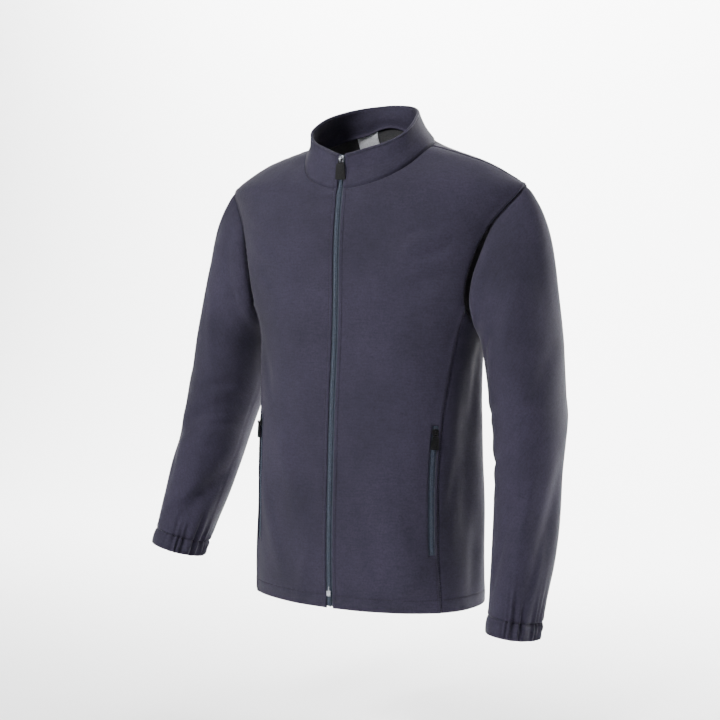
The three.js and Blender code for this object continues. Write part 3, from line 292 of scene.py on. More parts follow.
def ontoForm(p):
    # where the ray through each place meets the form, by halving
    centre = np.zeros_like(p)
    centre[..., 2] = np.minimum(p[..., 2], upperCentreZ)
    ray = p - centre
    low, high = np.full(p.shape[:-1], 0.4), np.full(p.shape[:-1], 2.4)
    for _ in range(24):
        middle = (low + high) / 2
        inside = outsideForm(centre + ray * middle[..., None]) < 0
        low, high = np.where(inside, middle, low), np.where(inside, high, middle)
    return centre + ray * ((low + high) / 2)[..., None]


def formNormal(p):
    slopes = []
    for axis in range(3):
        step = np.zeros(3)
        step[axis] = 0.5
        slopes.append(outsideForm(p + step) - outsideForm(p - step))
    return unit(np.stack(slopes, -1))


def creaseHeight(creases, u, w):
    total = np.zeros_like(u)
    for u0, w0, u1, w1, width, depth in creases:
        du, dw = u1 - u0, w1 - w0
        t = np.clip(((u - u0) * du + (w - w0) * dw) / (du * du + dw * dw), 0, 1)
        away = np.hypot(u - u0 - t * du, w - w0 - t * dw) / width
        strength = depth * (1.45 if abs(depth) < 3.2 else 1)
        total += strength * (0.35 + 0.65 * np.sin(np.pi * t)) * np.exp(-away * away)
    return total


def softWaves(p, seed, size=1.0):
    rng = np.random.default_rng(seed)
    total = np.zeros(p.shape[:-1])
    for _ in range(7):
        way = unit(rng.normal(size=3))
        length = rng.uniform(55, 170)
        total += rng.uniform(0.15, 0.4) * np.sin(2 * np.pi * (p @ way) / length + rng.uniform(0, 6))
    return total * size


def worn(side, p):
    # the form with its creases, and the directions out of it
    n = formNormal(p)
    angle = np.degrees(np.arctan2(p[..., 0], ringAt(p[..., 2])[3] - p[..., 1]))
    fade = smooth(4, 16, angle) * smooth(176, 164, angle) * smooth(-62, -105, p[..., 2])
    scaled = [(a * mmPerDegree, z, b * mmPerDegree, w, *rest) for a, z, b, w, *rest in bodyCreases[side]]
    raised = creaseHeight(scaled, angle * mmPerDegree, p[..., 2]) * fade
    calm = smooth(3, 22, angle) * smooth(178, 158, angle) * smooth(-40, -130, p[..., 2])
    raised = raised + softWaves(p, 11 + side) * calm
    return p + n * raised[..., None], n


def armForm(turn):
    return ontoForm(pointAt(armCurve, "turn", turn))


def neckForm(turn):
    return ontoForm(pointAt(neckCurve, "turn", turn))


def shoulderForm(along):
    return ontoForm(pointAt(shoulder, "along", along))


def angleAcross(angle, z, distance):
    step = 0.5
    gap = np.linalg.norm(ringPoint(angle + step, z) - ringPoint(angle, z), axis=-1) / step
    return angle + distance / gap


def lengths(p):
    return np.concatenate([[0], np.cumsum(np.linalg.norm(np.diff(p, axis=0), axis=1))])


def atShares(line, shares):
    run = lengths(line)
    return np.stack([np.interp(np.asarray(shares) * run[-1], run, line[:, i]) for i in range(3)], -1)


def patch(bottom, top, left, right, rise, run, passes=6):
    # a grid between four edges, smoothed and laid on the form
    v, u = np.asarray(rise)[:, None, None], np.asarray(run)[None, :, None]
    p = bottom[None] * (1 - v) + top[None] * v
    leftOff = left - (left[0] * (1 - v[:, 0]) + left[-1] * v[:, 0])
    rightOff = right - (right[0] * (1 - v[:, 0]) + right[-1] * v[:, 0])
    p = ontoForm(p + leftOff[:, None] * (1 - u) + rightOff[:, None] * u)
    p[0], p[-1], p[:, 0], p[:, -1] = bottom, top, left, right
    for _ in range(passes):
        smoothed = p.copy()
        smoothed[1:-1, 1:-1] = p[1:-1, 1:-1] * 0.5 + 0.125 * (
            p[:-2, 1:-1] + p[2:, 1:-1] + p[1:-1, :-2] + p[1:-1, 2:]
        )
        p = smoothed
    p[1:-1, 1:-1] = ontoForm(p[1:-1, 1:-1])
    return p


def nearLine(p, line):
    # distance to a line of points, and how far along it the nearest place is
    flat = p.reshape(-1, 3)
    a, d = line[:-1], np.diff(line, axis=0)
    size = np.maximum((d * d).sum(1), 1e-9)
    run = lengths(line)
    best, place = np.full(len(flat), 1e9), np.zeros(len(flat))
    for k in range(0, len(flat), 4000):
        q = flat[k : k + 4000]
        t = np.clip(((q[:, None] - a) * d).sum(2) / size, 0, 1)
        away = np.linalg.norm(q[:, None] - a - d * t[..., None], axis=2)
        i = away.argmin(1)
        best[k : k + 4000] = away[np.arange(len(q)), i]
        place[k : k + 4000] = run[i] + t[np.arange(len(q)), i] * np.sqrt(size[i])
    return best.reshape(p.shape[:-1]), place.reshape(p.shape[:-1])


# how the cloth lies beside a seam: raised over its turnings, drawn down at each row of stitches
topstitched = {"lift": 1.5, "width": 7.9, "groove": 1.3, "rows": (1.9, 7.4), "dip": 1.1, "pucker": 0.45}
armSeam = {"lift": 1.8, "width": 8.2, "groove": 0.3, "rows": (1.9, 7.4), "dip": 1.4, "pucker": 0.6}
singleStitched = {"lift": 0.6, "width": 5.6, "groove": 0.7, "rows": (5.2,), "dip": 0.65, "pucker": 0.26}
zipEdge = {"lift": 0.45, "width": 6.4, "groove": 0.5, "rows": (6,), "dip": 0.6, "pucker": 0.34}
slitEdge = {"lift": 0.5, "width": 4.2, "groove": 0.4, "rows": (3.2,), "dip": 0.36, "pucker": 0.16}
plainSeam = {"lift": 0, "width": 1, "groove": 1.0, "rows": (), "dip": 0, "pucker": 0.16}
hemTurn = {"lift": 0.35, "width": 20.5, "groove": 0, "rows": (20,), "dip": 0.7, "pucker": 0.42}


def besideSeam(p, line, kind):
    d, s = nearLine(p, line)
    h = kind["lift"] * smooth(kind["width"] + 1.4, kind["width"] - 1.2, d)
    h = h - (kind["groove"] + kind["lift"]) * np.exp(-((d / 0.85) ** 2))
    for row in kind["rows"]:
        h = h - kind["dip"] * np.exp(-(((d - row) / 0.95) ** 2))
    wave = np.sin(2 * np.pi * s / 11.3 + 1.7 * np.sin(s / 31)) * (0.6 + 0.4 * np.sin(s / 47 + 1))
    middle = kind["rows"][-1] if kind["rows"] else 2
    return h + kind["pucker"] * wave * np.exp(-(((d - middle) / 7) ** 2)) * smooth(0.5, 2.5, d)


def gridNormals(p, around=False):
    if around:
        wide = np.roll(p, -1, 1) - np.roll(p, 1, 1)
    else:
        wide = np.gradient(p, axis=1)
    return unit(np.cross(wide, np.gradient(p, axis=0)))


armCrease = {
    "from": 0.13,
    "deepFrom": 0.24,
    "to": 0.43,
    "depth": 7.5,
    "width": 4.6,
    "searched": (0.05, 0.5),
}


def armCreaseDepth(turn):
    # how deep the cloth folds in along the lower front of the armhole
    opening = smooth(armCrease["from"], armCrease["deepFrom"], turn)
    return armCrease["depth"] * opening * smooth(armCrease["to"] + 0.06, armCrease["to"] - 0.04, turn)


def dressed(side, p, seams):
    # the worn surface with its seams, and the directions out of it
    surface, n = worn(side, p)
    height = sum(besideSeam(surface, line, kind) for line, kind in seams)
    first, last = armCrease["searched"]
    armLine = worn(side, armForm(np.linspace(first, last, 120)))[0]
    away, run = nearLine(surface, armLine)
    turn = first + (last - first) * run / lengths(armLine)[-1]
    height = height - armCreaseDepth(turn) * np.exp(-((away / armCrease["width"]) ** 1.4))
    return surface + n * height[..., None], n


print("form ready")


def addObject(name, data):
    obj = bpy.data.objects.new(name, data)
    bpy.context.scene.collection.objects.link(obj)
    return obj


def smoothFaces(mesh):
    mesh.polygons.foreach_set("use_smooth", np.ones(len(mesh.polygons), bool))


def makeMesh(name, verts, faces, slots, uv=None, marks=None):
    mesh = bpy.data.meshes.new(name)
    mesh.from_pydata((verts * mm).tolist(), [], faces)
    for material in slots:
        mesh.materials.append(material)
    if marks is not None:
        mesh.polygons.foreach_set("material_index", np.asarray(marks, np.int32))
    if uv is not None:
        layer = mesh.uv_layers.new(name="cloth")
        corner = np.zeros(len(mesh.loops), np.int32)
        mesh.loops.foreach_get("vertex_index", corner)
        layer.data.foreach_set("uv", uv[corner].astype(np.float32).ravel())
    smoothFaces(mesh)
    mesh.validate()
    return addObject(name, mesh)


def tidyMesh(obj, distance=0.00001):
    bm = bmesh.new()
    bm.from_mesh(obj.data)
    bmesh.ops.remove_doubles(bm, verts=bm.verts, dist=distance)
    bmesh.ops.dissolve_degenerate(bm, edges=bm.edges, dist=distance / 10)
    bm.to_mesh(obj.data)
    bm.free()
    return obj


def rolled(p, n, thick, end):
    # rows that carry the outer face round a turned edge to its middle, and the inner face's
    edge, before = (p[-1], p[-2]) if end else (p[0], p[1])
    normal = n[-1] if end else n[0]
    t = (thick[-1] if end else thick[0])[:, None] / 2
    out = edge - before
    out = unit(out - normal * (out * normal).sum(-1, keepdims=True))
    centre = edge - normal * t - out * t
    arc = np.radians([0, 30, 60, 90])
    outer = np.stack([centre + t * (normal * np.cos(a) + out * np.sin(a)) for a in arc])
    inner = np.stack([centre + t * (-normal * np.cos(a) + out * np.sin(a)) for a in arc])
    within = p - n * thick[..., None]
    if end:
        return np.concatenate([p[:-1], outer]), np.concatenate([within[:-1], inner])
    return np.concatenate([outer[::-1], p[1:]]), np.concatenate([inner[::-1], within[1:]])


def runAlong(p, axis):
    # how far along a grid's rows or columns each place lies
    run = np.cumsum(np.linalg.norm(np.diff(p, axis=axis), axis=2), axis)
    return np.concatenate([np.zeros_like(run.take([0], axis)), run], axis)


def clothShell(name, p, n, thick, slots, side=1, around=False, rollStart=False, rollEnd=False, skip=None):
    # a closed thin shell: outer face, inner face and the edges between them
    thick = np.broadcast_to(np.asarray(thick, float), p.shape[:-1])
    outer, inner, added = p, p - n * thick[..., None], 0
    if rollEnd:
        outer, inner = rolled(p, n, thick, True)
    elif rollStart:
        outer, inner = rolled(p, n, thick, False)
        added = 3
    rows, columns = outer.shape[:2]
    cells = columns if around else columns - 1
    solid = np.ones((rows - 1, cells), bool)
    if skip is not None:
        solid[skip[0] + added : skip[1] + added, skip[2] : skip[3]] = False
    uv = np.stack([runAlong(outer, 1), runAlong(outer, 0)], -1).reshape(-1, 2) * mm
    index = np.arange(rows * columns).reshape(rows, columns)
    deep = rows * columns
    faces, marks = [], []

    def quad(a, b, c, d, mark):
        faces.append((a, d, c, b) if side < 0 else (a, b, c, d))
        marks.append(mark)

    def isSolid(r, c):
        c = c % cells if around else c
        return 0 <= r < rows - 1 and 0 <= c < cells and solid[r, c]

    for r in range(rows - 1):
        for c in range(cells):
            if not solid[r, c]:
                continue
            e = (c + 1) % columns
            a, b, k, d = index[r, c], index[r, e], index[r + 1, e], index[r + 1, c]
            quad(a, b, k, d, 0)
            quad(a + deep, d + deep, k + deep, b + deep, 1)
            if not isSolid(r - 1, c):
                quad(a, a + deep, b + deep, b, 0)
            if not isSolid(r + 1, c):
                quad(k, k + deep, d + deep, d, 0)
            if not isSolid(r, c - 1):
                quad(d, d + deep, a + deep, a, 0)
            if not isSolid(r, c + 1):
                quad(b, b + deep, k + deep, k, 0)
    verts = np.concatenate([outer.reshape(-1, 3), inner.reshape(-1, 3)])
    if side < 0:
        verts = verts * [-1, 1, 1]
    used = np.zeros(len(verts), bool)
    used[np.array(faces).ravel()] = True
    renumber = np.cumsum(used) - 1
    faces = renumber[np.array(faces)].tolist()
    obj = makeMesh(name, verts[used], faces, slots, np.concatenate([uv, uv])[used], marks)
    if rollStart or rollEnd:
        tidyMesh(obj)
    return obj


# Materials


def newMaterial(name):
    material = bpy.data.materials.new(name)
    material.use_nodes = True
    nodes, links = material.node_tree.nodes, material.node_tree.links
    shader = nodes["Principled BSDF"]
    return material, nodes, links, shader


def node(nodes, kind, **values):
    made = nodes.new(kind)
    for key, value in values.items():
        if key in made.inputs:
            made.inputs[key].default_value = value
        else:
            setattr(made, key, value)
    return made


def linear(hexCode):
    parts = [int(hexCode[i : i + 2], 16) / 255 for i in (1, 3, 5)]
    return [c / 12.92 if c <= 0.04045 else ((c + 0.055) / 1.055) ** 2.4 for c in parts] + [1]


def colourBetween(nodes, links, factor, colours, places):
    ramp = nodes.new("ShaderNodeValToRGB")
    ramp.color_ramp.elements[0].position, ramp.color_ramp.elements[1].position = places
    ramp.color_ramp.elements[0].color, ramp.color_ramp.elements[1].color = colours
    links.new(factor, ramp.inputs["Fac"])
    return ramp.outputs["Color"]


def mixColours(nodes, links, a, b, amount):
    # one colour darkened by another
    mix = nodes.new("ShaderNodeMix")
    mix.data_type, mix.blend_type = "RGBA", "MULTIPLY"
    mix.inputs["Factor"].default_value = amount
    links.new(a, mix.inputs["A"])
    links.new(b, mix.inputs["B"])
    return mix.outputs["Result"]


def addBump(nodes, links, height, strength, distance, before=None):
    bump = node(nodes, "ShaderNodeBump", Strength=strength, Distance=distance)
    links.new(height, bump.inputs["Height"])
    if before is not None:
        links.new(before, bump.inputs["Normal"])
    return bump.outputs["Normal"]


def noise(nodes, links, vector, scale, detail=3.0, rough=0.55):
    made = node(nodes, "ShaderNodeTexNoise", Scale=scale, Detail=detail, Roughness=rough)
    links.new(vector, made.inputs["Vector"])
    return made.outputs["Fac"]


def threads(nodes, links, vector, scale, way):
    made = node(nodes, "ShaderNodeTexWave", Scale=scale, Distortion=0.6, Detail=1.0)
    made.wave_type, made.bands_direction = "BANDS", way
    made.inputs["Detail Scale"].default_value = 2.0
    links.new(vector, made.inputs["Vector"])
    return made.outputs["Fac"]


def mathNode(nodes, links, kind, a, b):
    made = nodes.new("ShaderNodeMath")
    made.operation = kind
    for socket, value in zip(made.inputs, (a, b)):
        if isinstance(value, (int, float)):
            socket.default_value = value
        else:
            links.new(value, socket)
    return made.outputs["Value"]


def varyRoughness(nodes, links, shader, source, low, high):
    spread = nodes.new("ShaderNodeMapRange")
    spread.inputs["To Min"].default_value = low
    spread.inputs["To Max"].default_value = high
    links.new(source, spread.inputs["Value"])
    links.new(spread.outputs["Result"], shader.inputs["Roughness"])


softshell = {
    "dark": "#23202E",
    "light": "#2D2939",
    "yarnDark": "#888888",
    "yarnLight": "#FFFFFF",
    "weave": 640,
    "weaveBump": 0.14,
    "pebbleBump": 0.22,
    "handleBump": 0.45,
    "roughness": 0.84,
    "sheen": 0.05,
}


def softshellCloth(name, look):
    material, nodes, links, shader = newMaterial(name)
    place = nodes.new("ShaderNodeTexCoord")
    body, sheet = place.outputs["Object"], place.outputs["UV"]
    cloud = noise(nodes, links, body, 7, 5, 0.6)
    base = colourBetween(nodes, links, cloud, (linear(look["dark"]), linear(look["light"])), (0.34, 0.68))
    fleck = noise(nodes, links, body, 360, 3, 0.75)
    yarns = (linear(look["yarnDark"]), linear(look["yarnLight"]))
    flecked = colourBetween(nodes, links, fleck, yarns, (0.25, 0.62))
    slub = node(nodes, "ShaderNodeMapping")
    slub.inputs["Scale"].default_value = (60, 420, 1)
    links.new(sheet, slub.inputs["Vector"])
    slubs = noise(nodes, links, slub.outputs["Vector"], 1, 2, 0.6)
    streak = colourBetween(nodes, links, slubs, (linear("#C4C4C4"), linear("#FFFFFF")), (0.3, 0.6))
    tone = mixColours(nodes, links, mixColours(nodes, links, base, flecked, 0.5), streak, 0.35)
    links.new(tone, shader.inputs["Base Color"])
    warp = threads(nodes, links, sheet, look["weave"], "X")
    weft = threads(nodes, links, sheet, look["weave"], "Y")
    weave = mathNode(nodes, links, "MAXIMUM", warp, weft)
    bump = addBump(nodes, links, weave, look["weaveBump"], 0.0002)
    bump = addBump(nodes, links, noise(nodes, links, body, 900, 2), look["pebbleBump"], 0.00025, bump)
    bump = addBump(nodes, links, noise(nodes, links, body, 30, 5, 0.55), look["handleBump"], 0.002, bump)
    links.new(bump, shader.inputs["Normal"])
    varyRoughness(nodes, links, shader, cloud, look["roughness"] - 0.06, look["roughness"] + 0.07)
    shader.inputs["Sheen Weight"].default_value = look["sheen"]
    shader.inputs["Sheen Roughness"].default_value = 0.45
    shader.inputs["Specular IOR Level"].default_value = 0.18
    return material


def fleeceCloth(name):
    material, nodes, links, shader = newMaterial(name)
    body = nodes.new("ShaderNodeTexCoord").outputs["Object"]
    pile = noise(nodes, links, body, 620, 4, 0.75)
    colour = colourBetween(nodes, links, pile, (linear("#0C0C0E"), linear("#2A2A2E")), (0.35, 0.7))
    links.new(colour, shader.inputs["Base Color"])
    bump = addBump(nodes, links, pile, 0.7, 0.0008)
    bump = addBump(nodes, links, noise(nodes, links, body, 130, 3), 0.4, 0.0012, bump)
    links.new(bump, shader.inputs["Normal"])
    shader.inputs["Roughness"].default_value = 0.95
    shader.inputs["Sheen Weight"].default_value = 0.25
    shader.inputs["Sheen Roughness"].default_value = 0.6
    shader.inputs["Specular IOR Level"].default_value = 0.15
    return material


def tapeCloth(name, dark, light):
    material, nodes, links, shader = newMaterial(name)
    place = nodes.new("ShaderNodeTexCoord")
    body, sheet = place.outputs["Object"], place.outputs["UV"]
    turned = node(nodes, "ShaderNodeMapping", Rotation=(0, 0, math.radians(45)))
    links.new(sheet, turned.inputs["Vector"])
    twill = threads(nodes, links, turned.outputs["Vector"], 560, "X")
    tone = colourBetween(nodes, links, twill, (linear(dark), linear(light)), (0.1, 0.9))
    patches = noise(nodes, links, body, 300, 3)
    cloud = colourBetween(nodes, links, patches, (linear("#A8A8A8"), linear("#FFFFFF")), (0.3, 0.65))
    links.new(mixColours(nodes, links, tone, cloud, 0.5), shader.inputs["Base Color"])
    links.new(addBump(nodes, links, twill, 0.5, 0.0003), shader.inputs["Normal"])
    shader.inputs["Roughness"].default_value = 0.72
    shader.inputs["Specular IOR Level"].default_value = 0.35
    return material


def moulded(name, colour, roughness, metallic=0.0, grain=420, bumpSize=0.12, wear=None, shine=0.5):
    material, nodes, links, shader = newMaterial(name)
    body = nodes.new("ShaderNodeTexCoord").outputs["Object"]
    fine = noise(nodes, links, body, grain, 3)
    tint = colourBetween(nodes, links, fine, (linear(colour), linear(wear or colour)), (0.35, 0.75))
    links.new(tint, shader.inputs["Base Color"])
    wornPlaces = noise(nodes, links, body, grain / 3, 4)
    varyRoughness(nodes, links, shader, wornPlaces, roughness - 0.08, roughness + 0.1)
    links.new(addBump(nodes, links, fine, bumpSize, 0.0001), shader.inputs["Normal"])
    shader.inputs["Metallic"].default_value = metallic
    shader.inputs["Specular IOR Level"].default_value = shine
    return material


outerCloth = softshellCloth("softshellFace", softshell)
innerFleece = fleeceCloth("blackFleeceFace")
zipTapeCloth = tapeCloth("zipTapeTwill", "#1A202B", "#333B4A")
coilNylon = moulded("zipCoilNylon", "#252D3A", 0.45, wear="#3A4557")
blackMoulding = moulded("blackMoulding", "#020203", 0.5, wear="#060607", shine=0.2)
brightMetal = moulded(
    "brightMetal", "#8A8D94", 0.26, metallic=1.0, grain=700, bumpSize=0.05, wear="#A9ACB3"
)
labelCloth = tapeCloth("labelSatin", "#B9BAC0", "#D2D3D8")
# sewing thread: partly the thread's own dark colour, partly darkened further as painted shade for the
# grooves the stitches sink into
threadWithPaintedShade = moulded(
    "threadWithPaintedShade", "#100E16", 0.75, grain=1500, bumpSize=0.3, wear="#1B1824", shine=0.2
)
# the outer and inner face of the bonded cloth, of doubled cloth and of tape
bonded, doubled, taped = (outerCloth, innerFleece), (outerCloth, outerCloth), (zipTapeCloth, zipTapeCloth)
print("materials ready")

# Panels of the body

cloth = {
    "thickness": 1.5,
    "zipShows": 11,
    "slitNear": 6,
    "slitFar": 16,
    "slitLow": -603,
    "slitHigh": -412,
    "hemTurn": 20,
    "hemExtra": 1.2,
    "slitSideStitch": 2.4,
    "cuffSeamStitch": 2.6,
}
nearHem = [-690, -687.6, -685, -681, -676, -673, -671.4, -670, -668.6, -666, -661]
slitRows = np.linspace(cloth["slitLow"], cloth["slitHigh"], 41)
lowRows = np.array([*nearHem, *np.linspace(-655, -606.5, 9), *slitRows, *np.linspace(-408.5, chestZ, 19)])
slitStart, slitEnd = (int(np.searchsorted(lowRows, cloth[end])) for end in ("slitLow", "slitHigh"))
nearTop = [0.945, 0.956, 0.965, 0.972, 0.978, 0.984, 0.988, 0.992, 0.9945, 0.997, 0.9985, 1]
upRise = np.array([*np.linspace(0, 0.93, 48), *nearTop])
turnedHem = smooth(hemZ + cloth["hemTurn"] + 1, hemZ + cloth["hemTurn"] - 1, lowRows)
hemThickness = cloth["thickness"] + cloth["hemExtra"] * turnedHem

seamZ = np.linspace(hemZ, chestZ, 140)


def seamBelow(seam):
    return ringPoint(tableAt(seam, "z", "angle", seamZ), seamZ)


def seamBridge(seam, turn):
    low, high = ringPoint(tableAt(seam, "z", "angle", chestZ), chestZ), armForm(turn)
    return ontoForm(low + (high - low) * np.linspace(0, 1, 12)[:, None])


frontBridge, backBridge = seamBridge(frontSeam, frontSeamTurn), seamBridge(backSeam, backSeamTurn)
frontArm = armForm(np.linspace(frontSeamTurn, 0, 120))
backArm = armForm(np.linspace(backSeamTurn, 1, 120))
sideArm = armForm(np.linspace(frontSeamTurn, backSeamTurn, 80))
frontNeck = neckForm(np.linspace(0, neckPointTurn, 80))
backNeck = neckForm(np.linspace(neckPointTurn, 1, 70))
shoulderLine = shoulderForm(np.linspace(0, 1, 60))
hemLine = ringPoint(np.linspace(0, 180, 180), hemZ)
frontSeamLine = np.concatenate([seamBelow(frontSeam), frontBridge[1:]])
backSeamLine = np.concatenate([seamBelow(backSeam), backBridge[1:]])
turnPerMm = neckline["turn"][1] / neckline["x"][1]
zipTurn = cloth["zipShows"] / 2 * turnPerMm


def wornLine(side, line):
    return worn(side, line)[0]


def frontGrid(side):
    byZip = [0, 0.003, 0.006, 0.011, 0.017, 0.023, 0.028, 0.033, 0.04, 0.052]
    bySlit = [0.95, 0.965, 0.976, 0.984, 0.99, 0.995, 1]
    tA = np.array([*byZip, *np.linspace(0.07, 0.93, 34), *bySlit])
    tC = np.array([0, 0.12, 0.26, 0.42, 0.56, 0.68, 0.8, 0.9, 1])

    def columnsAt(z):
        seam = tableAt(frontSeam, "z", "angle", z)
        zipSide = angleAcross(0.0, z, cloth["zipShows"] / 2)
        far, near = angleAcross(seam, z, -cloth["slitFar"]), angleAcross(seam, z, -cloth["slitNear"])
        return np.concatenate([zipSide + (far - zipSide) * tA, near + (seam - near) * tC])

    lower = np.stack([ringPoint(columnsAt(z), np.full(len(tA) + len(tC), z)) for z in lowRows])
    run = lengths(lower[-1])
    run = run / run[-1]
    corner = int(np.abs(run - 0.47).argmin())
    neckTurns = zipTurn + (neckPointTurn - zipTurn) * run[: corner + 1] / run[corner]
    along = (run[corner + 1 :] - run[corner]) / (1 - run[corner])
    top = np.concatenate([neckForm(neckTurns), shoulderForm(along)])
    right = atShares(np.concatenate([frontBridge, frontArm[1:]]), upRise)
    right[1:-1] = ontoForm(right[1:-1])
    z = chestZ + (top[0, 2] - chestZ) * upRise
    left = ringPoint(angleAcross(0.0, z, cloth["zipShows"] / 2), z)
    left[-1], right[-1], right[0], left[0] = top[0], top[-1], lower[-1][-1], lower[-1][0]
    upper = patch(lower[-1], top, left, right, upRise, run)
    grid = np.concatenate([lower, upper[1:]])
    zipLine = grid[:, 0]
    slitA = wornLine(side, grid[slitStart : slitEnd + 1, len(tA) - 1])
    slitB = wornLine(side, grid[slitStart : slitEnd + 1, len(tA)])
    seams = [
        (wornLine(side, frontSeamLine), topstitched),
        (wornLine(side, frontArm), armSeam),
        (wornLine(side, frontNeck), plainSeam),
        (wornLine(side, shoulderLine), plainSeam),
        (wornLine(side, zipLine), zipEdge),
        (wornLine(side, hemLine), hemTurn),
        (np.concatenate([slitA, slitB[::-1], slitA[:1]]), slitEdge),
    ]
    p, n = dressed(side, grid, seams)
    return p, n, len(tA) - 1


def sideGrid(side):
    byFront, byBack = [0, 0.006, 0.014, 0.026, 0.045, 0.07], [0.93, 0.955, 0.974, 0.986, 0.994, 1]
    t = np.array([*byFront, *np.linspace(0.1, 0.9, 26), *byBack])
    lower = []
    for z in lowRows:
        a, b = tableAt(frontSeam, "z", "angle", z), tableAt(backSeam, "z", "angle", z)
        lower.append(ringPoint(a + (b - a) * t, np.full(len(t), z)))
    lower = np.stack(lower)
    rise = np.array([0, 0.15, 0.3, 0.45, 0.6, 0.72, 0.82, 0.89, 0.94, 0.97, 0.985, 1])
    left, right = ontoForm(atShares(frontBridge, rise)), ontoForm(atShares(backBridge, rise))
    top = armForm(frontSeamTurn + (backSeamTurn - frontSeamTurn) * t)
    left[0], right[0] = lower[-1][0], lower[-1][-1]
    left[-1], right[-1] = top[0], top[-1]
    upper = patch(lower[-1], top, left, right, rise, t)
    grid = np.concatenate([lower, upper[1:]])
    seams = [
        (wornLine(side, frontSeamLine), plainSeam),
        (wornLine(side, backSeamLine), plainSeam),
        (wornLine(side, sideArm), plainSeam),
        (wornLine(side, hemLine), hemTurn),
    ]
    return dressed(side, grid, seams)


def backHalf(side):
    t = np.array([0, 0.003, 0.007, 0.012, 0.019, 0.028, 0.035, 0.042, 0.055, *np.linspace(0.075, 1, 40)])
    lower = []
    for z in lowRows:
        a = tableAt(backSeam, "z", "angle", z)
        lower.append(ringPoint(a + (180 - a) * t, np.full(len(t), z)))
    lower = np.stack(lower)
    run = lengths(lower[-1])
    run = run / run[-1]
    corner = int(np.abs(run - 0.56).argmin())
    along = 1 - run[: corner + 1] / run[corner]
    neckTurns = neckPointTurn + (1 - neckPointTurn) * (run[corner + 1 :] - run[corner]) / (1 - run[corner])
    top = np.concatenate([shoulderForm(along), neckForm(neckTurns)])
    left = atShares(np.concatenate([backBridge, backArm[1:]]), upRise)
    left[1:-1] = ontoForm(left[1:-1])
    z = chestZ + (top[-1, 2] - chestZ) * upRise
    right = ringPoint(180.0, z)
    left[0], left[-1], right[0], right[-1] = lower[-1][0], top[0], lower[-1][-1], top[-1]
    upper = patch(lower[-1], top, left, right, upRise, run)
    grid = np.concatenate([lower, upper[1:]])
    seams = [
        (wornLine(side, backSeamLine), topstitched),
        (wornLine(side, backArm), armSeam),
        (wornLine(side, backNeck), plainSeam),
        (wornLine(side, shoulderLine), singleStitched),
        (wornLine(side, hemLine), hemTurn),
    ]
    p, n = dressed(side, grid, seams)
    return p, n, corner


def panelThickness(p):
    thick = np.full(p.shape[:-1], cloth["thickness"])
    thick[: len(lowRows)] = hemThickness[:, None]
    return thick


stitchLines = {"body": [], "sleeves": [], "pocket": []}


def fromRight(p, n, distance, rows):
    # the line a set distance in from the ends of a grid's rows
    points, normals = [], []
    for r in rows:
        run = lengths(p[r][::-1])
        points.append([np.interp(distance, run, p[r][::-1][:, i]) for i in range(3)])
        normals.append([np.interp(distance, run, n[r][::-1][:, i]) for i in range(3)])
    return np.array(points), unit(np.array(normals))


def fromLeft(p, n, distance, rows):
    return fromRight(p[:, ::-1], n[:, ::-1], distance, rows)


def fromTop(p, n, distance, columns):
    return fromRight(p.transpose(1, 0, 2), n.transpose(1, 0, 2), distance, columns)


def fromBottom(p, n, distance, columns):
    return fromRight(p[::-1].transpose(1, 0, 2), n[::-1].transpose(1, 0, 2), distance, columns)


def onSide(side, line):
    # a line's places and directions, mirrored for the right
    points, normals = line
    return points * [side, 1, 1], normals * [side, 1, 1]


def sew(group, side, line):
    stitchLines[group].append(onSide(side, line))


panels = {}
for side, word in sides.items():
    p, n, slit = frontGrid(side)
    panels[side] = (p, n, slit)
    rows = len(p)
    front = clothShell(
        "front" + word, p, n, panelThickness(p), bonded, side, rollStart=True,
        skip=(slitStart, slitEnd, slit, slit + 1),
    )
    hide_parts("front_left" if side > 0 else "front_right")
    for distance in topstitched["rows"]:
        sew("body", side, fromRight(p, n, distance, range(2, rows - 12)))
    sew("body", side, fromLeft(p, n, zipEdge["rows"][0], range(2, rows - 5)))
    columns = p.shape[1]
    sew("body", side, fromBottom(p, n, cloth["hemTurn"], range(8, columns)))
    besideSlit = range(slitStart - 1, slitEnd + 2)
    frontSide = fromRight(p[:, : slit + 1], n[:, : slit + 1], slitEdge["rows"][0], besideSlit)[0]
    edge, seam = p[besideSlit, slit + 1], p[besideSlit, -1]
    seamSide = edge + unit(seam - edge) * cloth["slitSideStitch"]
    normals = n[besideSlit, slit]
    loop = np.concatenate([frontSide, seamSide[::-1], frontSide[:1]])
    sew("pocket", side, (loop, np.concatenate([normals, normals[::-1], normals[:1]])))

    sp, sn = sideGrid(side)
    sidePanel = clothShell("side" + word, sp, sn, panelThickness(sp), bonded, side, rollStart=True)
    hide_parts("side_left" if side > 0 else "side_right")
    sew("body", side, fromBottom(sp, sn, cloth["hemTurn"], range(sp.shape[1])))
print("fronts and sides made")


def joinHalves(left, right):
    # a whole grid from the left half and the mirror image of the right one
    return np.concatenate([left, (right * [-1, 1, 1])[:, -2::-1]], 1)


leftHalf, rightHalf = backHalf(1), backHalf(-1)
backP, backN = joinHalves(leftHalf[0], rightHalf[0]), joinHalves(leftHalf[1], rightHalf[1])
backPanel = clothShell("backPanel", backP, backN, panelThickness(backP), bonded, rollStart=True)
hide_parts("back")
for side, half in ((1, leftHalf), (-1, rightHalf)):
    p, n, corner = half
    for distance in topstitched["rows"]:
        sew("body", side, fromLeft(p, n, distance, range(2, len(p) - 12)))
    sew("body", side, fromTop(p, n, singleStitched["rows"][0], range(6, corner - 1)))
    sew("body", side, fromBottom(p, n, cloth["hemTurn"], range(p.shape[1])))
print("back made")

# Collar

collarLook = {"thickness": 4.6, "bow": 2.2, "topStitch": 5, "zipStitch": 6, "footPuff": 1.3, "tuck": 1.4}


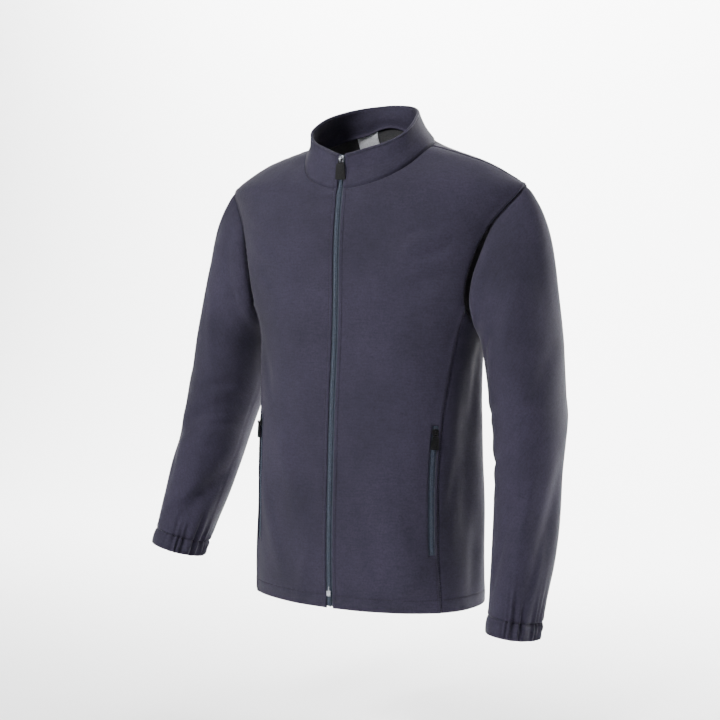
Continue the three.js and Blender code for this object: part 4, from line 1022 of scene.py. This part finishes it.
def collarPoint(turn, up):
    turn, up = np.broadcast_arrays(turn, up)
    foot = worn(1, neckForm(turn))[0]
    top = pointAt(neckCurve, "turn", turn, ("topX", "topY", "topZ"))
    p = foot + (top - foot) * up[..., None]
    out = unit(p - np.stack([np.zeros_like(up), np.full_like(up, -18), p[..., 2]], -1))
    return p - out * (collarLook["bow"] * np.sin(np.pi * up))[..., None]


def collarHalf(turns, ups, seed):
    p = collarPoint(turns[None, :], ups[:, None])
    n = gridNormals(p)
    height = lengths(p[:, len(turns) // 2])
    across = lengths(p[len(ups) // 2])
    fromFoot, fromEdge = (height - height[1])[:, None], (height[-1] - height)[:, None]
    h = collarLook["footPuff"] * smooth(0, 5, fromFoot) * smooth(26, 8, fromFoot)
    h = h - 0.6 * np.exp(-((fromFoot / 1.4) ** 2))
    h = h + 0.35 * smooth(7, 3, fromEdge)
    h = h - 0.45 * np.exp(-(((fromEdge - collarLook["topStitch"]) / 0.9) ** 2))
    s = across[None, :]
    pucker = np.sin(2 * np.pi * s / 13.7 + 1.5 * np.sin(s / 29))
    h = h + 0.25 * pucker * np.exp(-(((fromEdge - 6) / 6) ** 2))
    h = h + softWaves(p, seed, 0.8) * smooth(0, 14, fromFoot)
    h[0] -= collarLook["tuck"]
    h = h - 0.35 * np.exp(-(((s - collarLook["zipStitch"]) / 0.9) ** 2)) * smooth(0, 8, fromFoot)
    return p + n * h[..., None], n


besideZip = np.linspace(zipTurn, zipTurn + 12 * turnPerMm, 12)
collarTurns = np.array([*besideZip, *np.linspace(zipTurn + 15 * turnPerMm, 1, 62)])
byFoot, byEdge = [-0.04, 0, 0.01, 0.025, 0.05, 0.08], [0.87, 0.895, 0.915, 0.93, 0.945, 0.965, 1]
collarUps = np.array([*byFoot, *np.linspace(0.12, 0.84, 18), *byEdge])
lp, ln = collarHalf(collarTurns, collarUps, 31)
rp, rn = collarHalf(collarTurns, collarUps, 32)
collarP, collarN = joinHalves(lp, rp), joinHalves(ln, rn)
middle = lp.shape[1] - 1
collarN[:, middle] = unit(collarN[:, middle - 1] + collarN[:, middle + 1])
collar = clothShell("collar", collarP, collarN, collarLook["thickness"], doubled, rollEnd=True)
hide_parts("collar_outer", "collar_inner")
sew("body", 1, fromTop(collarP, collarN, collarLook["topStitch"], range(4, collarP.shape[1] - 4)))
for pick in (fromLeft, fromRight):
    sew("body", 1, pick(collarP, collarN, collarLook["zipStitch"], range(2, len(collarUps) - 5)))
print("collar made")

# Sleeves and cuffs

cuffLook = {"height": 25, "girth": 270, "thickness": 2.6, "topStitch": 4.0, "tuck": 1.9}
gather = {"waves": 15, "depth": 2.9, "draw": 1.3, "sleeveFrom": 0.89, "sleeveDepth": 3.3}


def elasticTurn(side, turn):
    # a turn carried on past 1 where the elastic runs over the outer side
    return np.where(turn < cuffHang[side]["elastic"][0] - 0.06, turn + 1, turn)


def elasticAt(side, turn):
    first, last = cuffHang[side]["elastic"]
    carried = elasticTurn(side, turn)
    return smooth(first - 0.05, first + 0.05, carried) * smooth(last + 0.05, last - 0.05, carried)


def gatherWave(side, turn):
    # uneven gathers: their spacing and their depth both wander
    first, last = cuffHang[side]["elastic"]
    share = (elasticTurn(side, turn) - first) / (last - first)
    wander = 0.3 * np.sin(2 * np.pi * 2.9 * share + side) + 0.16 * np.sin(2 * np.pi * 6.7 * share + 2)
    ridges = np.cos(2 * np.pi * (gather["waves"] * share + wander))
    sharp = np.sign(ridges) * np.abs(ridges) ** 0.8
    return sharp * (0.8 + 0.35 * np.sin(2 * np.pi * 2.3 * share + 1.1 * side))


def sleeveFrame(side, at):
    rings = sleeveRings[side]
    at = np.asarray(at, float)
    down = unit(
        pointAt(rings, "at", np.clip(at + 0.02, 0, 1)) - pointAt(rings, "at", np.clip(at - 0.02, 0, 1))
    )
    front = unit(np.array([0, -1, 0]) + down * down[..., 1:2])
    return pointAt(rings, "at", np.clip(at, 0, 1)), down, front, unit(np.cross(front, down))


def sleeveRing(side, turn, at):
    middle, down, front, outer = sleeveFrame(side, at)
    wide = tableAt(sleeveRings[side], "at", "halfWidth", at)[..., None]
    deep = tableAt(sleeveRings[side], "at", "halfDepth", at)[..., None]
    sin, cos = np.sin(2 * np.pi * turn)[..., None], np.cos(2 * np.pi * turn)[..., None]
    across = outer * cos * wide + front * sin * deep
    mouth = np.array(cuffHang[side]["mouth"])
    slide = -smooth(slantFrom, 1, at) * (across @ mouth) / (down @ mouth)
    return middle + across + down * slide[..., None]


cuffSeamTurn = {1: 0.5, -1: 0.27}


def hermite(a, slopeA, b, slopeB, t):
    t2, t3 = t * t, t * t * t
    ends = a * (2 * t3 - 3 * t2 + 1) + b * (3 * t2 - 2 * t3)
    return ends + slopeA * (t3 - 2 * t2 + t) + slopeB * (t3 - t2)


def sleeveGrid(side):
    turns = np.linspace(0, 1, 112, endpoint=False)
    cap = np.array([-1, -0.996, -0.99, -0.98, -0.965, *np.linspace(-0.945, -0.03, 38)])
    tube = np.array([*np.linspace(0, 0.93, 74), 0.94, 0.95, 0.96, 0.97, 0.98, 0.988, 0.994, 1])
    start = worn(side, armForm(turns))[0]
    out = unit(pointAt(armCurve, "turn", turns, ("outX", "outY", "outZ")))
    end = sleeveRing(side, turns, np.zeros_like(turns))
    down = sleeveFrame(side, 0)[1]
    span = np.linalg.norm(start - end, axis=1)[:, None]
    reach = span * tableAt(armCurve, "turn", "reach", turns)[:, None]
    rows = [hermite(start, out * reach, end, down * span, a + 1) for a in cap]
    rows += [sleeveRing(side, turns, np.full_like(turns, a)) for a in tube]
    along = np.concatenate([cap, tube])
    p = np.stack(rows)
    n = gridNormals(p, True)
    u, w = np.broadcast_arrays(turns[None] * sleeveGirth, along[:, None] * sleeveLength)
    creases = []
    for turnA, atA, turnB, atB, *rest in sleeveCreases[side]:
        # a crease whose turn drops by more than half runs on over the start of the turn
        turnB = turnB + 1 if turnB < turnA - 0.5 else turnB
        for lap in (-1, 0, 1):
            uA, uB = (turnA + lap) * sleeveGirth, (turnB + lap) * sleeveGirth
            creases.append((uA, atA * sleeveLength, uB, atB * sleeveLength, *rest))
    fade = smooth(-1, -0.7, along) * smooth(1, 0.93, along)
    h = creaseHeight(creases, u, w) * fade[:, None]
    h = h + softWaves(p, 51 + side, 0.9) * (smooth(-1, -0.6, along) * smooth(1, 0.9, along))[:, None]
    reach = np.clip(1 - along[:, None], 0, 1) / (1 - gather["sleeveFrom"])
    tail = 0.55 + 0.45 * np.sin(2 * np.pi * 5.3 * turns + side)[None]
    elastic = elasticAt(side, turns)[None] * np.exp(-((reach / (0.35 + 0.65 * tail)) ** 2))
    gathers = gatherWave(side, turns)[None] * gather["sleeveDepth"] * 0.85
    h = h + elastic * (gathers - 0.9 * smooth(0.94, 1, along)[:, None])
    # the cap's ease and the seam under the arm
    inCap = np.linalg.norm(p - p[0], axis=2)
    ease = np.sin(2 * np.pi * turns * 33 + 1.6 * np.sin(turns * 23))
    ease = ease * (smooth(0.36, 0.2, turns) + smooth(0.66, 0.8, turns))
    h = h + 0.3 * ease[None] * np.exp(-(((inCap - 7) / 8) ** 2)) * smooth(0, 3, inCap)
    h = h - 0.5 * np.exp(-((inCap / 1.1) ** 2)) + 0.9 * smooth(0.5, 5, inCap) * smooth(26, 9, inCap)
    h = h - armCreaseDepth(turns)[None] * np.exp(-((inCap / armCrease["width"]) ** 1.4))
    h = h + 0.35 * armCreaseDepth(turns)[None] * np.exp(-(((inCap - 22) / 11) ** 2))
    h = h - 0.7 * np.exp(-(((np.abs(turns - 0.5) * sleeveGirth) / 1.6) ** 2))[None]
    toCuff = (1 - along)[:, None] * sleeveLength
    h = h - 0.8 * np.exp(-((toCuff / 1.8) ** 2)) + 0.5 * smooth(9, 5, toCuff) * smooth(0, 3, toCuff)
    return p + n * h[..., None], n


def closedRound(p, n):
    # the first column again at the end
    return np.concatenate([p, p[:, :1]], 1), np.concatenate([n, n[:, :1]], 1)


def cuffGrid(side):
    turns = np.linspace(0, 1, 200, endpoint=False)
    drops = np.array([-0.12, 0, 0.03, 0.08, 0.16, 0.26, 0.36, 0.46, 0.56, 0.66, 0.76, 0.84, 0.9, 1])
    down, front, outer = (np.asarray(v) for v in sleeveFrame(side, 1.0)[1:])
    wide, deep = sleeveRings[side]["halfWidth"][-1], sleeveRings[side]["halfDepth"][-1]
    sin, cos = np.sin(2 * np.pi * turns)[:, None], np.cos(2 * np.pi * turns)[:, None]
    n = unit(outer * cos / wide + front * sin / deep)
    rows = []
    for drop in drops:
        wave = gatherWave(side, turns) * (1 - 0.2 * drop + 0.2 * np.sin(9 * drop + turns * 40))
        pull = elasticAt(side, turns)
        h = pull * (wave * gather["depth"] - gather["draw"]) + 1.4 * np.sin(np.pi * max(drop, 0)) ** 0.7
        h = h - (0.7 + 0.5 * pull) * math.exp(-((drop * cuffLook["height"] / 1.3) ** 2))
        h = h - 0.35 * math.exp(-(((drop - 0.86) * cuffLook["height"] / 1.0) ** 2)) * (1 - 0.5 * pull)
        h = h - 1.0 * np.exp(-(((np.abs(turns - cuffSeamTurn[side]) * cuffLook["girth"]) / 1.1) ** 2))
        h = h - (cuffLook["tuck"] if drop < 0 else 0)
        base = sleeveRing(side, turns, np.ones_like(turns)) + down * (0.4 + drop * cuffLook["height"])
        rows.append(base + n * h[:, None])
    p = np.stack(rows)
    return p, gridNormals(p, True)


for side, word in sides.items():
    p, n = sleeveGrid(side)
    sleeve = clothShell("sleeve" + word, p, n, cloth["thickness"], bonded, side, around=True)
    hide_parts("sleeve_left" if side > 0 else "sleeve_right")
    sleeveSeam = fromBottom(*closedRound(p, n), cloth["cuffSeamStitch"], range(p.shape[1] + 1))
    sew("sleeves", side, sleeveSeam)
    cp, cn = cuffGrid(side)
    thick = cuffLook["thickness"]
    cuff = clothShell("cuff" + word, cp, cn, thick, doubled, side, around=True, rollEnd=True)
    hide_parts("cuff_left" if side > 0 else "cuff_right")
    mouthSeam = fromTop(*closedRound(cp, cn), cuffLook["topStitch"], range(cp.shape[1] + 1))
    sew("sleeves", side, mouthSeam)
print("sleeves and cuffs made")

# Zips


def zipCentre(distance, count=150, collarCount=26):
    # places up the front at a distance from the centre, hem to collar top
    z = np.linspace(hemZ + 3, -64, count)
    body = ringPoint(angleAcross(0.0, z, distance), z)
    ups = np.linspace(0.0, 0.96, collarCount)
    return np.concatenate([body, collarPoint(np.full(collarCount, distance * turnPerMm), ups)])


def stripGrid(distances):
    p = np.stack([zipCentre(d) for d in distances], 1)
    return p, gridNormals(p)


zipLook = {"depth": 1.95, "tape": 0.8, "coilDepth": 0.95}
for side, word in sides.items():
    p, n = stripGrid(np.array([0.15, 1.5, 3, 4.2, 5.5, 8, 11, 14]))
    tape = clothShell("zipTape" + word, p - n * zipLook["depth"], n, zipLook["tape"], taped, side)
    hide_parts("zip_tape_left" if side > 0 else "zip_tape_right")

centreP, centreN = stripGrid(np.array([0.0, 1.0]))
centreN[:, 0, 0] = 0
frontCoilPath = (centreP[:, 0] - centreN[:, 0] * zipLook["coilDepth"], unit(centreN[:, 0]))
coilPaths = {"front": [frontCoilPath], "pocket": []}

for side, word in sides.items():
    p, n, slit = panels[side]
    rows = slice(slitStart - 1, slitEnd + 2)
    far, near, nf, nn = p[rows, slit], p[rows, slit + 1], n[rows, slit], n[rows, slit + 1]
    across = np.array([-3, 0, 2.5, 5, 7.5, 10, 13]) / 10
    grid = np.stack([far + (near - far) * t for t in across], 1)
    normal = unit(np.stack([nf + (nn - nf) * np.clip(t, 0, 1) for t in across], 1))
    inner = grid - normal * zipLook["depth"]
    tape = clothShell("pocketTape" + word, inner, normal, zipLook["tape"], taped, side)
    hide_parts("pocket_tape_left" if side > 0 else "pocket_tape_right")
    middle, out = grid[1:-1, 3], normal[1:-1, 3]
    coilPaths["pocket"].append(onSide(side, (middle - out * zipLook["coilDepth"], out)))


def pathObject(name, lines):
    # loose lines that carry the direction out of the cloth
    verts = np.concatenate([p for p, n in lines])
    outward = np.concatenate([n for p, n in lines])
    edges, first = [], 0
    for p, n in lines:
        edges += [(i, i + 1) for i in range(first, first + len(p) - 1)]
        first += len(p)
    mesh = bpy.data.meshes.new(name)
    mesh.from_pydata((verts * mm).tolist(), edges, [])
    layer = mesh.attributes.new("outward", "FLOAT_VECTOR", "POINT")
    layer.data.foreach_set("vector", outward.astype(np.float32).ravel())
    return addObject(name, mesh)


def rowTree(name, twin):
    # stitches, or the two interlocked rows of a zip's coil, set out along a path
    tree = bpy.data.node_groups.new(name, "GeometryNodeTree")
    sizes = dict.fromkeys(("Pitch", "Length", "Width", "Height"), "Float")
    for label, kind in {"Geometry": "Geometry", **sizes, "Material": "Material"}.items():
        tree.interface.new_socket(label, in_out="INPUT", socket_type="NodeSocket" + kind)
    tree.interface.new_socket("Geometry", in_out="OUTPUT", socket_type="NodeSocketGeometry")
    make, link = tree.nodes.new, tree.links.new
    given, result = make("NodeGroupInput"), make("NodeGroupOutput")
    curve, spaced = make("GeometryNodeMeshToCurve"), make("GeometryNodeResampleCurve")
    spaced.mode = "LENGTH"
    link(given.outputs["Geometry"], curve.inputs["Mesh"])
    link(curve.outputs["Curve"], spaced.inputs["Curve"])
    link(given.outputs["Pitch"], spaced.inputs["Length"])
    tangent, outward = make("GeometryNodeInputTangent"), make("GeometryNodeInputNamedAttribute")
    outward.data_type = "FLOAT_VECTOR"
    outward.inputs["Name"].default_value = "outward"
    alongPath = make("FunctionNodeAlignRotationToVector")
    awayFromCloth = make("FunctionNodeAlignRotationToVector")
    alongPath.axis, awayFromCloth.axis, awayFromCloth.pivot_axis = "X", "Z", "X"
    link(tangent.outputs["Tangent"], alongPath.inputs["Vector"])
    link(alongPath.outputs["Rotation"], awayFromCloth.inputs["Rotation"])
    link(outward.outputs["Attribute"], awayFromCloth.inputs["Vector"])
    bead, size = make("GeometryNodeMeshUVSphere"), make("ShaderNodeCombineXYZ")
    bead.inputs["Segments"].default_value, bead.inputs["Rings"].default_value = 6, 4
    bead.inputs["Radius"].default_value = 0.5
    for part, axis in (("Length", "X"), ("Width", "Y"), ("Height", "Z")):
        link(given.outputs[part], size.inputs[axis])
    shape = make("GeometryNodeTransform")
    link(bead.outputs["Mesh"], shape.inputs["Geometry"])
    link(size.outputs["Vector"], shape.inputs["Scale"])
    stitch = shape.outputs["Geometry"]
    if twin:
        joined = make("GeometryNodeJoinGeometry")
        for sign in (1, -1):
            move, offset = make("GeometryNodeTransform"), make("ShaderNodeCombineXYZ")
            half, quarter = make("ShaderNodeMath"), make("ShaderNodeMath")
            half.operation = quarter.operation = "MULTIPLY"
            half.inputs[1].default_value, quarter.inputs[1].default_value = 0.37 * sign, 0.25 * sign
            link(given.outputs["Width"], half.inputs[0])
            link(given.outputs["Pitch"], quarter.inputs[0])
            link(half.outputs["Value"], offset.inputs["Y"])
            link(quarter.outputs["Value"], offset.inputs["X"])
            link(offset.outputs["Vector"], move.inputs["Translation"])
            link(stitch, move.inputs["Geometry"])
            link(move.outputs["Geometry"], joined.inputs["Geometry"])
        stitch = joined.outputs["Geometry"]
    placed, real = make("GeometryNodeInstanceOnPoints"), make("GeometryNodeRealizeInstances")
    painted = make("GeometryNodeSetMaterial")
    link(spaced.outputs["Curve"], placed.inputs["Points"])
    link(stitch, placed.inputs["Instance"])
    link(awayFromCloth.outputs["Rotation"], placed.inputs["Rotation"])
    link(placed.outputs["Instances"], real.inputs["Geometry"])
    link(real.outputs["Geometry"], painted.inputs["Geometry"])
    link(given.outputs["Material"], painted.inputs["Material"])
    link(painted.outputs["Geometry"], result.inputs["Geometry"])
    return tree


def alongPaths(name, lines, tree, sizes, material):
    path = pathObject(name + ".path", lines)
    setter = path.modifiers.new("row", "NODES")
    setter.node_group = tree
    sockets = {item.name: item.identifier for item in tree.interface.items_tree if item.in_out == "INPUT"}
    for label, value in sizes.items():
        setter[sockets[label]] = value
    setter[sockets["Material"]] = material
    evaluated = path.evaluated_get(bpy.context.evaluated_depsgraph_get())
    mesh = bpy.data.meshes.new_from_object(evaluated)
    mesh.name = name
    path.modifiers.remove(setter)
    bpy.data.objects.remove(path)
    smoothFaces(mesh)
    return addObject(name, mesh)


stitch = {"Pitch": 0.0032, "Length": 0.0028, "Width": 0.001, "Height": 0.0007}
coil = {"Pitch": 0.00135, "Length": 0.00118, "Width": 0.0034, "Height": 0.0018}
stitchTree, coilTree = rowTree("stitchRow", False), rowTree("coilRow", True)
stitching = {"bodyStitching": "body", "sleeveStitching": "sleeves", "pocketStitching": "pocket"}
for name, group in stitching.items():
    alongPaths(name, stitchLines[group], stitchTree, stitch, threadWithPaintedShade)
frontCoil = alongPaths("zipCoil", coilPaths["front"], coilTree, coil, coilNylon)
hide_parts("zip_chain")
pocketCoil = alongPaths("pocketCoils", coilPaths["pocket"], coilTree, coil, coilNylon)
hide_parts("pocket_chain_left", "pocket_chain_right")
print("stitches and coils set out")

# Sliders, pulls, box and label

joints = {j["child"]: j for j in frame["joints"]}
# the way up the zip at each pull, and the pull's length, width low and high, and thickness
pocketPull = {"length": 25, "low": 13, "high": 10, "thick": 1.9}
hangers = {
    "front_pull": {"up": (0, -0.0195, 0.9998), "length": 30, "low": 17.5, "high": 12.5, "thick": 2.0},
    "left_pocket_pull": {"up": (0.0483, 0.1029, 0.9935), **pocketPull},
    "right_pocket_pull": {"up": (-0.0483, 0.1029, 0.9935), **pocketPull},
}


def hangerMatrix(body):
    joint = joints[body]
    across = -Vector(joint["axis"]).normalized()
    up = Vector(hangers[body]["up"])
    out = across.cross(up).normalized()
    up = out.cross(across).normalized()
    turn = Matrix((across, up, out)).transposed().to_4x4()
    return Matrix.Translation(Vector(joint["pos_m"])) @ turn


def bothSides(*right):
    # an even shape from the corners on its right, low to high
    return [(-right[0][0], right[0][1]), *right, *((-x, y) for x, y in right[:0:-1])]


def outline(points, corner, steps=4):
    # a polygon with its corners rounded
    made = []
    for i, p in enumerate(points):
        p = np.array(p, float)
        before, after = np.array(points[i - 1], float), np.array(points[(i + 1) % len(points)], float)
        a, b = p + unit(before - p) * corner, p + unit(after - p) * corner
        for t in np.linspace(0, 1, steps):
            made.append((1 - t) ** 2 * a + 2 * t * (1 - t) * p + t * t * b)
    return np.array(made)


def plate(bm, shape, low, high, scaleTop=1.0):
    rings = []
    for z, scale in ((low, 1.0), (high, scaleTop)):
        middle = shape.mean(0)
        rings.append([bm.verts.new((*((q - middle) * scale + middle), z)) for q in shape])
    bm.faces.new(rings[0][::-1])
    bm.faces.new(rings[1])
    for i in range(len(shape)):
        j = (i + 1) % len(shape)
        bm.faces.new((rings[0][i], rings[0][j], rings[1][j], rings[1][i]))


def ring(bm, lowHalf, highHalf, low, high, bar, thick):
    # the frame at a pull's head that loops through the slider's bridge
    outer = bothSides((lowHalf, low), (highHalf, high))
    inner = bothSides((lowHalf - bar, low + bar), (highHalf - bar, high - bar))
    levels = []
    for z in (-thick / 2, thick / 2):
        levels.append(([bm.verts.new((*q, z)) for q in outer], [bm.verts.new((*q, z)) for q in inner]))
    (lo, li), (ho, hi) = levels
    for i in range(4):
        j = (i + 1) % 4
        bm.faces.new((lo[j], lo[i], li[i], li[j]))
        bm.faces.new((ho[i], ho[j], hi[j], hi[i]))
        bm.faces.new((lo[i], lo[j], ho[j], ho[i]))
        bm.faces.new((li[j], li[i], hi[i], hi[j]))


def finished(name, bm, matrix, material, bevel, segments=3):
    bmesh.ops.scale(bm, vec=(mm, mm, mm), verts=bm.verts)
    bmesh.ops.transform(bm, matrix=matrix, verts=bm.verts)
    bmesh.ops.recalc_face_normals(bm, faces=bm.faces)
    mesh = bpy.data.meshes.new(name)
    bm.to_mesh(mesh)
    bm.free()
    mesh.materials.append(material)
    smoothFaces(mesh)
    obj = addObject(name, mesh)
    soft = obj.modifiers.new("edges", "BEVEL")
    soft.width, soft.segments = bevel * mm, segments
    soft.limit_method, soft.angle_limit = "ANGLE", math.radians(35)
    soft.harden_normals = True
    return obj


def makePull(name, body):
    look = hangers[body]
    bm = bmesh.new()
    half, top = look["thick"] / 2, -5.2
    ring(bm, 3.7, 3.2, top - 1.2, 0.8, 1.35, 1.6)
    low, length = look["low"] / 2, look["length"]
    neck = look["high"] / 2
    grip = bothSides((low, -length), (neck, top - 1), (neck * 0.55, top))
    plate(bm, outline(grip, 1.5), -half * 0.8, half * 0.8)
    rim = bothSides((low - 1.6, -length + 1.6), (neck - 1.5, top - 3))
    plate(bm, outline(rim, 1.2), half * 0.5, half * 1.25, 0.97)
    # the ribs that give a thumb its hold
    for k in range(5):
        y = -length + 4.2 + k * (length - 15) / 5
        w = low - 3.2 - 0.35 * k
        plate(bm, outline(bothSides((w, y), (w, y + 1.1)), 0.4, 3), half, half * 1.55, 0.94)
    return finished(name, bm, hangerMatrix(body), blackMoulding, 0.28)


def makeSlider(name, body, material):
    # a crowned face plate with wings, and the bridge for the pull
    bm = bmesh.new()
    face = bothSides((3.1, -6.2), (4.7, -1.2), (4.5, 4.6), (1.4, 5.4))
    plate(bm, outline(face, 1.1), -3.75, -2.75)
    crown = bothSides((2.6, -5.4), (3.9, -1), (3.6, 4))
    plate(bm, outline(crown, 1.1), -2.95, -2.15, 0.86)
    reach, hole, width, foot, steps = 2.45, 1.38, 1.3, -2.6, 9
    outer, inner = [], []
    for i in range(steps + 1):
        a = math.pi * i / steps
        outer.append((math.cos(a) * reach, math.sin(a) * reach * 0.95))
        inner.append((math.cos(a) * hole, math.sin(a) * hole))
    outer = [(reach + 0.5, foot), *outer, (-reach - 0.5, foot)]
    inner = [(hole, foot), *inner, (-hole, foot)]
    rows = []
    for line in (outer, inner):
        rows += [[bm.verts.new((x, q[0], q[1])) for q in line] for x in (-width, width)]
    outLow, outHigh, inLow, inHigh = rows
    for i in range(len(outLow) - 1):
        bm.faces.new((outLow[i], outLow[i + 1], outHigh[i + 1], outHigh[i]))
        bm.faces.new((inLow[i + 1], inLow[i], inHigh[i], inHigh[i + 1]))
        bm.faces.new((outLow[i + 1], outLow[i], inLow[i], inLow[i + 1]))
        bm.faces.new((outHigh[i], outHigh[i + 1], inHigh[i + 1], inHigh[i]))
    for i in (0, -1):
        bm.faces.new((outLow[i], outHigh[i], inHigh[i], inLow[i]))
    return finished(name, bm, hangerMatrix(body), material, 0.3)


# each pull's piece and CAD node, then its slider's
pulls = {
    "front_pull": ("frontPull", "zip_pull", "frontSlider", "zip_slider"),
    "left_pocket_pull": (
        "pocketPullLeft", "pocket_pull_left", "pocketSliderLeft", "pocket_slider_left",
    ),
    "right_pocket_pull": (
        "pocketPullRight", "pocket_pull_right", "pocketSliderRight", "pocket_slider_right",
    ),
}
for body, (pullName, pullNode, sliderName, sliderNode) in pulls.items():
    metal = brightMetal if body == "front_pull" else blackMoulding
    tab = makePull(pullName, body)
    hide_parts(pullNode)
    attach(tab, body)
    slider = makeSlider(sliderName, body, metal)
    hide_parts(sliderNode)
    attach(slider, jacketBody)


def seatMatrix(p, n, upward):
    z = Vector(n).normalized()
    x = Vector(upward).cross(z).normalized()
    y = z.cross(x).normalized()
    return Matrix.Translation(Vector(p) * mm) @ Matrix((x, y, z)).transposed().to_4x4()


footPlace = centreP[4, 0]
footUp = centreP[6, 0] - centreP[2, 0]
bm = bmesh.new()
plate(bm, outline(bothSides((3.6, -5), (3.6, 4)), 0.9), 0.1, 1.7, 0.9)
plate(bm, outline(bothSides((0.6, 3), (0.6, 9.5)), 0.3), 0.1, 1.2)
seat = seatMatrix(footPlace + np.array([0, -0.4, 3.5]), (0, -1, 0.0), footUp)
retainer = finished("retainerBox", bm, seat, brightMetal, 0.25)
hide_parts("zip_box")

labelLook = {"width": 34, "height": 22, "thick": 0.5, "drop": 1.0, "gap": 2.3, "bow": 0.9, "x": -40}
across = labelLook["x"] + np.linspace(1, -1, 19) * labelLook["width"] / 2
underHand = [c for c in range(backP.shape[1]) if abs(backP[-1, c, 0] - labelLook["x"]) < labelLook["width"]]
labelRows = []
for drop in np.linspace(labelLook["height"], 0, 13):
    rowP, rowN = fromTop(backP, backN, labelLook["drop"] + drop, underHand)
    order = np.argsort(rowP[:, 0])
    place, out = (
        np.stack([np.interp(across, rowP[order, 0], row[order, i]) for i in range(3)], 1)
        for row in (rowP, rowN)
    )
    sidewaysBow = np.cos(np.pi * (across - labelLook["x"]) / labelLook["width"]) ** 2
    middle = np.sin(np.pi * drop / labelLook["height"]) * sidewaysBow
    behind = labelLook["gap"] + labelLook["bow"] * middle
    labelRows.append((place - unit(out) * behind[:, None], unit(out)))
labelP, labelN = (np.stack([row[k] for row in labelRows]) for k in (0, 1))
label = clothShell("neckLabel", labelP, labelN, labelLook["thick"], (labelCloth, labelCloth))
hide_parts("neck_label")
print("trims made")

# Riding: each piece, listed under a slot name, attached to the jacket's body

slots = {
    "shell_cloth": [
        "frontLeft", "frontRight", "sideLeft", "sideRight", "backPanel", "collar",
        "sleeveLeft", "sleeveRight", "cuffLeft", "cuffRight",
        "bodyStitching", "sleeveStitching", "pocketStitching",
    ],
    "zip_tape": ["zipTapeLeft", "zipTapeRight", "pocketTapeLeft", "pocketTapeRight"],
    "zip_chain": ["zipCoil", "pocketCoils"],
    "bright_metal": ["retainerBox"],
    "label_cloth": ["neckLabel"],
}
for slotName, names in slots.items():
    for name in names:
        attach(bpy.data.objects[name], jacketBody)

# Floor, light and camera

# in metres
stageLook = {
    "floorZ": -0.93,
    "frontY": -3.5,
    "wallY": 2.6,
    "bend": 1.2,
    "wallTop": 4.2,
    "halfWidth": 5,
    "shade": "#FFFFFF",
}


def backdrop():
    wall, bend = stageLook["wallY"], stageLook["bend"]
    profile = [(stageLook["frontY"], 0), (wall - bend, 0)]
    for a in np.linspace(0.1, math.pi / 2, 14):
        profile.append((wall - bend + bend * math.sin(a), bend - bend * math.cos(a)))
    profile.append((wall, stageLook["wallTop"]))
    verts, faces = [], []
    for x in (-stageLook["halfWidth"], stageLook["halfWidth"]):
        verts += [(x, y, stageLook["floorZ"] + z) for y, z in profile]
    count = len(profile)
    for i in range(count - 1):
        faces.append((i, i + count, i + count + 1, i + 1))
    mesh = bpy.data.meshes.new("floor")
    mesh.from_pydata(verts, [], faces)
    smoothFaces(mesh)
    material, nodes, links, shader = newMaterial("paleFloor")
    shader.inputs["Base Color"].default_value = linear(stageLook["shade"])
    shader.inputs["Roughness"].default_value = 0.9
    mesh.materials.append(material)
    return addObject("floor", mesh)


backdrop()

lamps = {
    "key": {"at": (-0.9, -2.6, 1.5), "to": (0, 0, -0.2), "size": 0.9, "power": 175},
    "fill": {"at": (1.6, -3.2, 1.2), "to": (0, 0, 0), "size": 0.9, "power": 12},
    "top": {"at": (0.1, -0.5, 2.0), "to": (0, 0, 0), "size": 0.9, "power": 30},
    "rim": {"at": (2.4, 1.4, 0.9), "to": (0.2, 0, -0.1), "size": 0.8, "power": 3},
    "backdropLeft": {"at": (-1.5, 0.8, 1.6), "to": (-1.1, 2.6, 1.15), "size": 1.8, "power": 380},
    "backdropRight": {"at": (1.7, 0.8, 1.6), "to": (1.3, 2.6, 1.15), "size": 1.8, "power": 380},
}
for name, lamp in lamps.items():
    light = bpy.data.lights.new(name, "AREA")
    light.energy, light.size = lamp["power"], lamp["size"]
    obj = addObject(name, light)
    obj.location = lamp["at"]
    obj.rotation_euler = (Vector(lamp["to"]) - Vector(lamp["at"])).to_track_quat("-Z", "Y").to_euler()

world = bpy.data.worlds.new("studio")
world.use_nodes = True
sky = world.node_tree.nodes["Background"]
sky.inputs["Color"].default_value = linear("#F2F4F8")
sky.inputs["Strength"].default_value = 0.24
bpy.context.scene.world = world

shot = {
    "azimuth": 29.5,
    "elevation": 4.3,
    "distance": 2.56,
    "lens": 82.5,
    "sideways": -0.02,
    "height": -0.326,
}
a, e = math.radians(shot["azimuth"]), math.radians(shot["elevation"])
away = Vector((math.sin(a) * math.cos(e), -math.cos(a) * math.cos(e), math.sin(e)))
camera = addObject("camera", bpy.data.cameras.new("camera"))
camera.data.lens, camera.data.sensor_width = shot["lens"], 36
sideways = Vector((math.cos(a), math.sin(a), 0)) * shot["sideways"]
camera.location = sideways + Vector((0, 0, shot["height"])) + away * shot["distance"]
camera.rotation_euler = (-away).to_track_quat("-Z", "Y").to_euler()
camera.data.clip_end = 50
bpy.context.scene.camera = camera

print("stage ready")
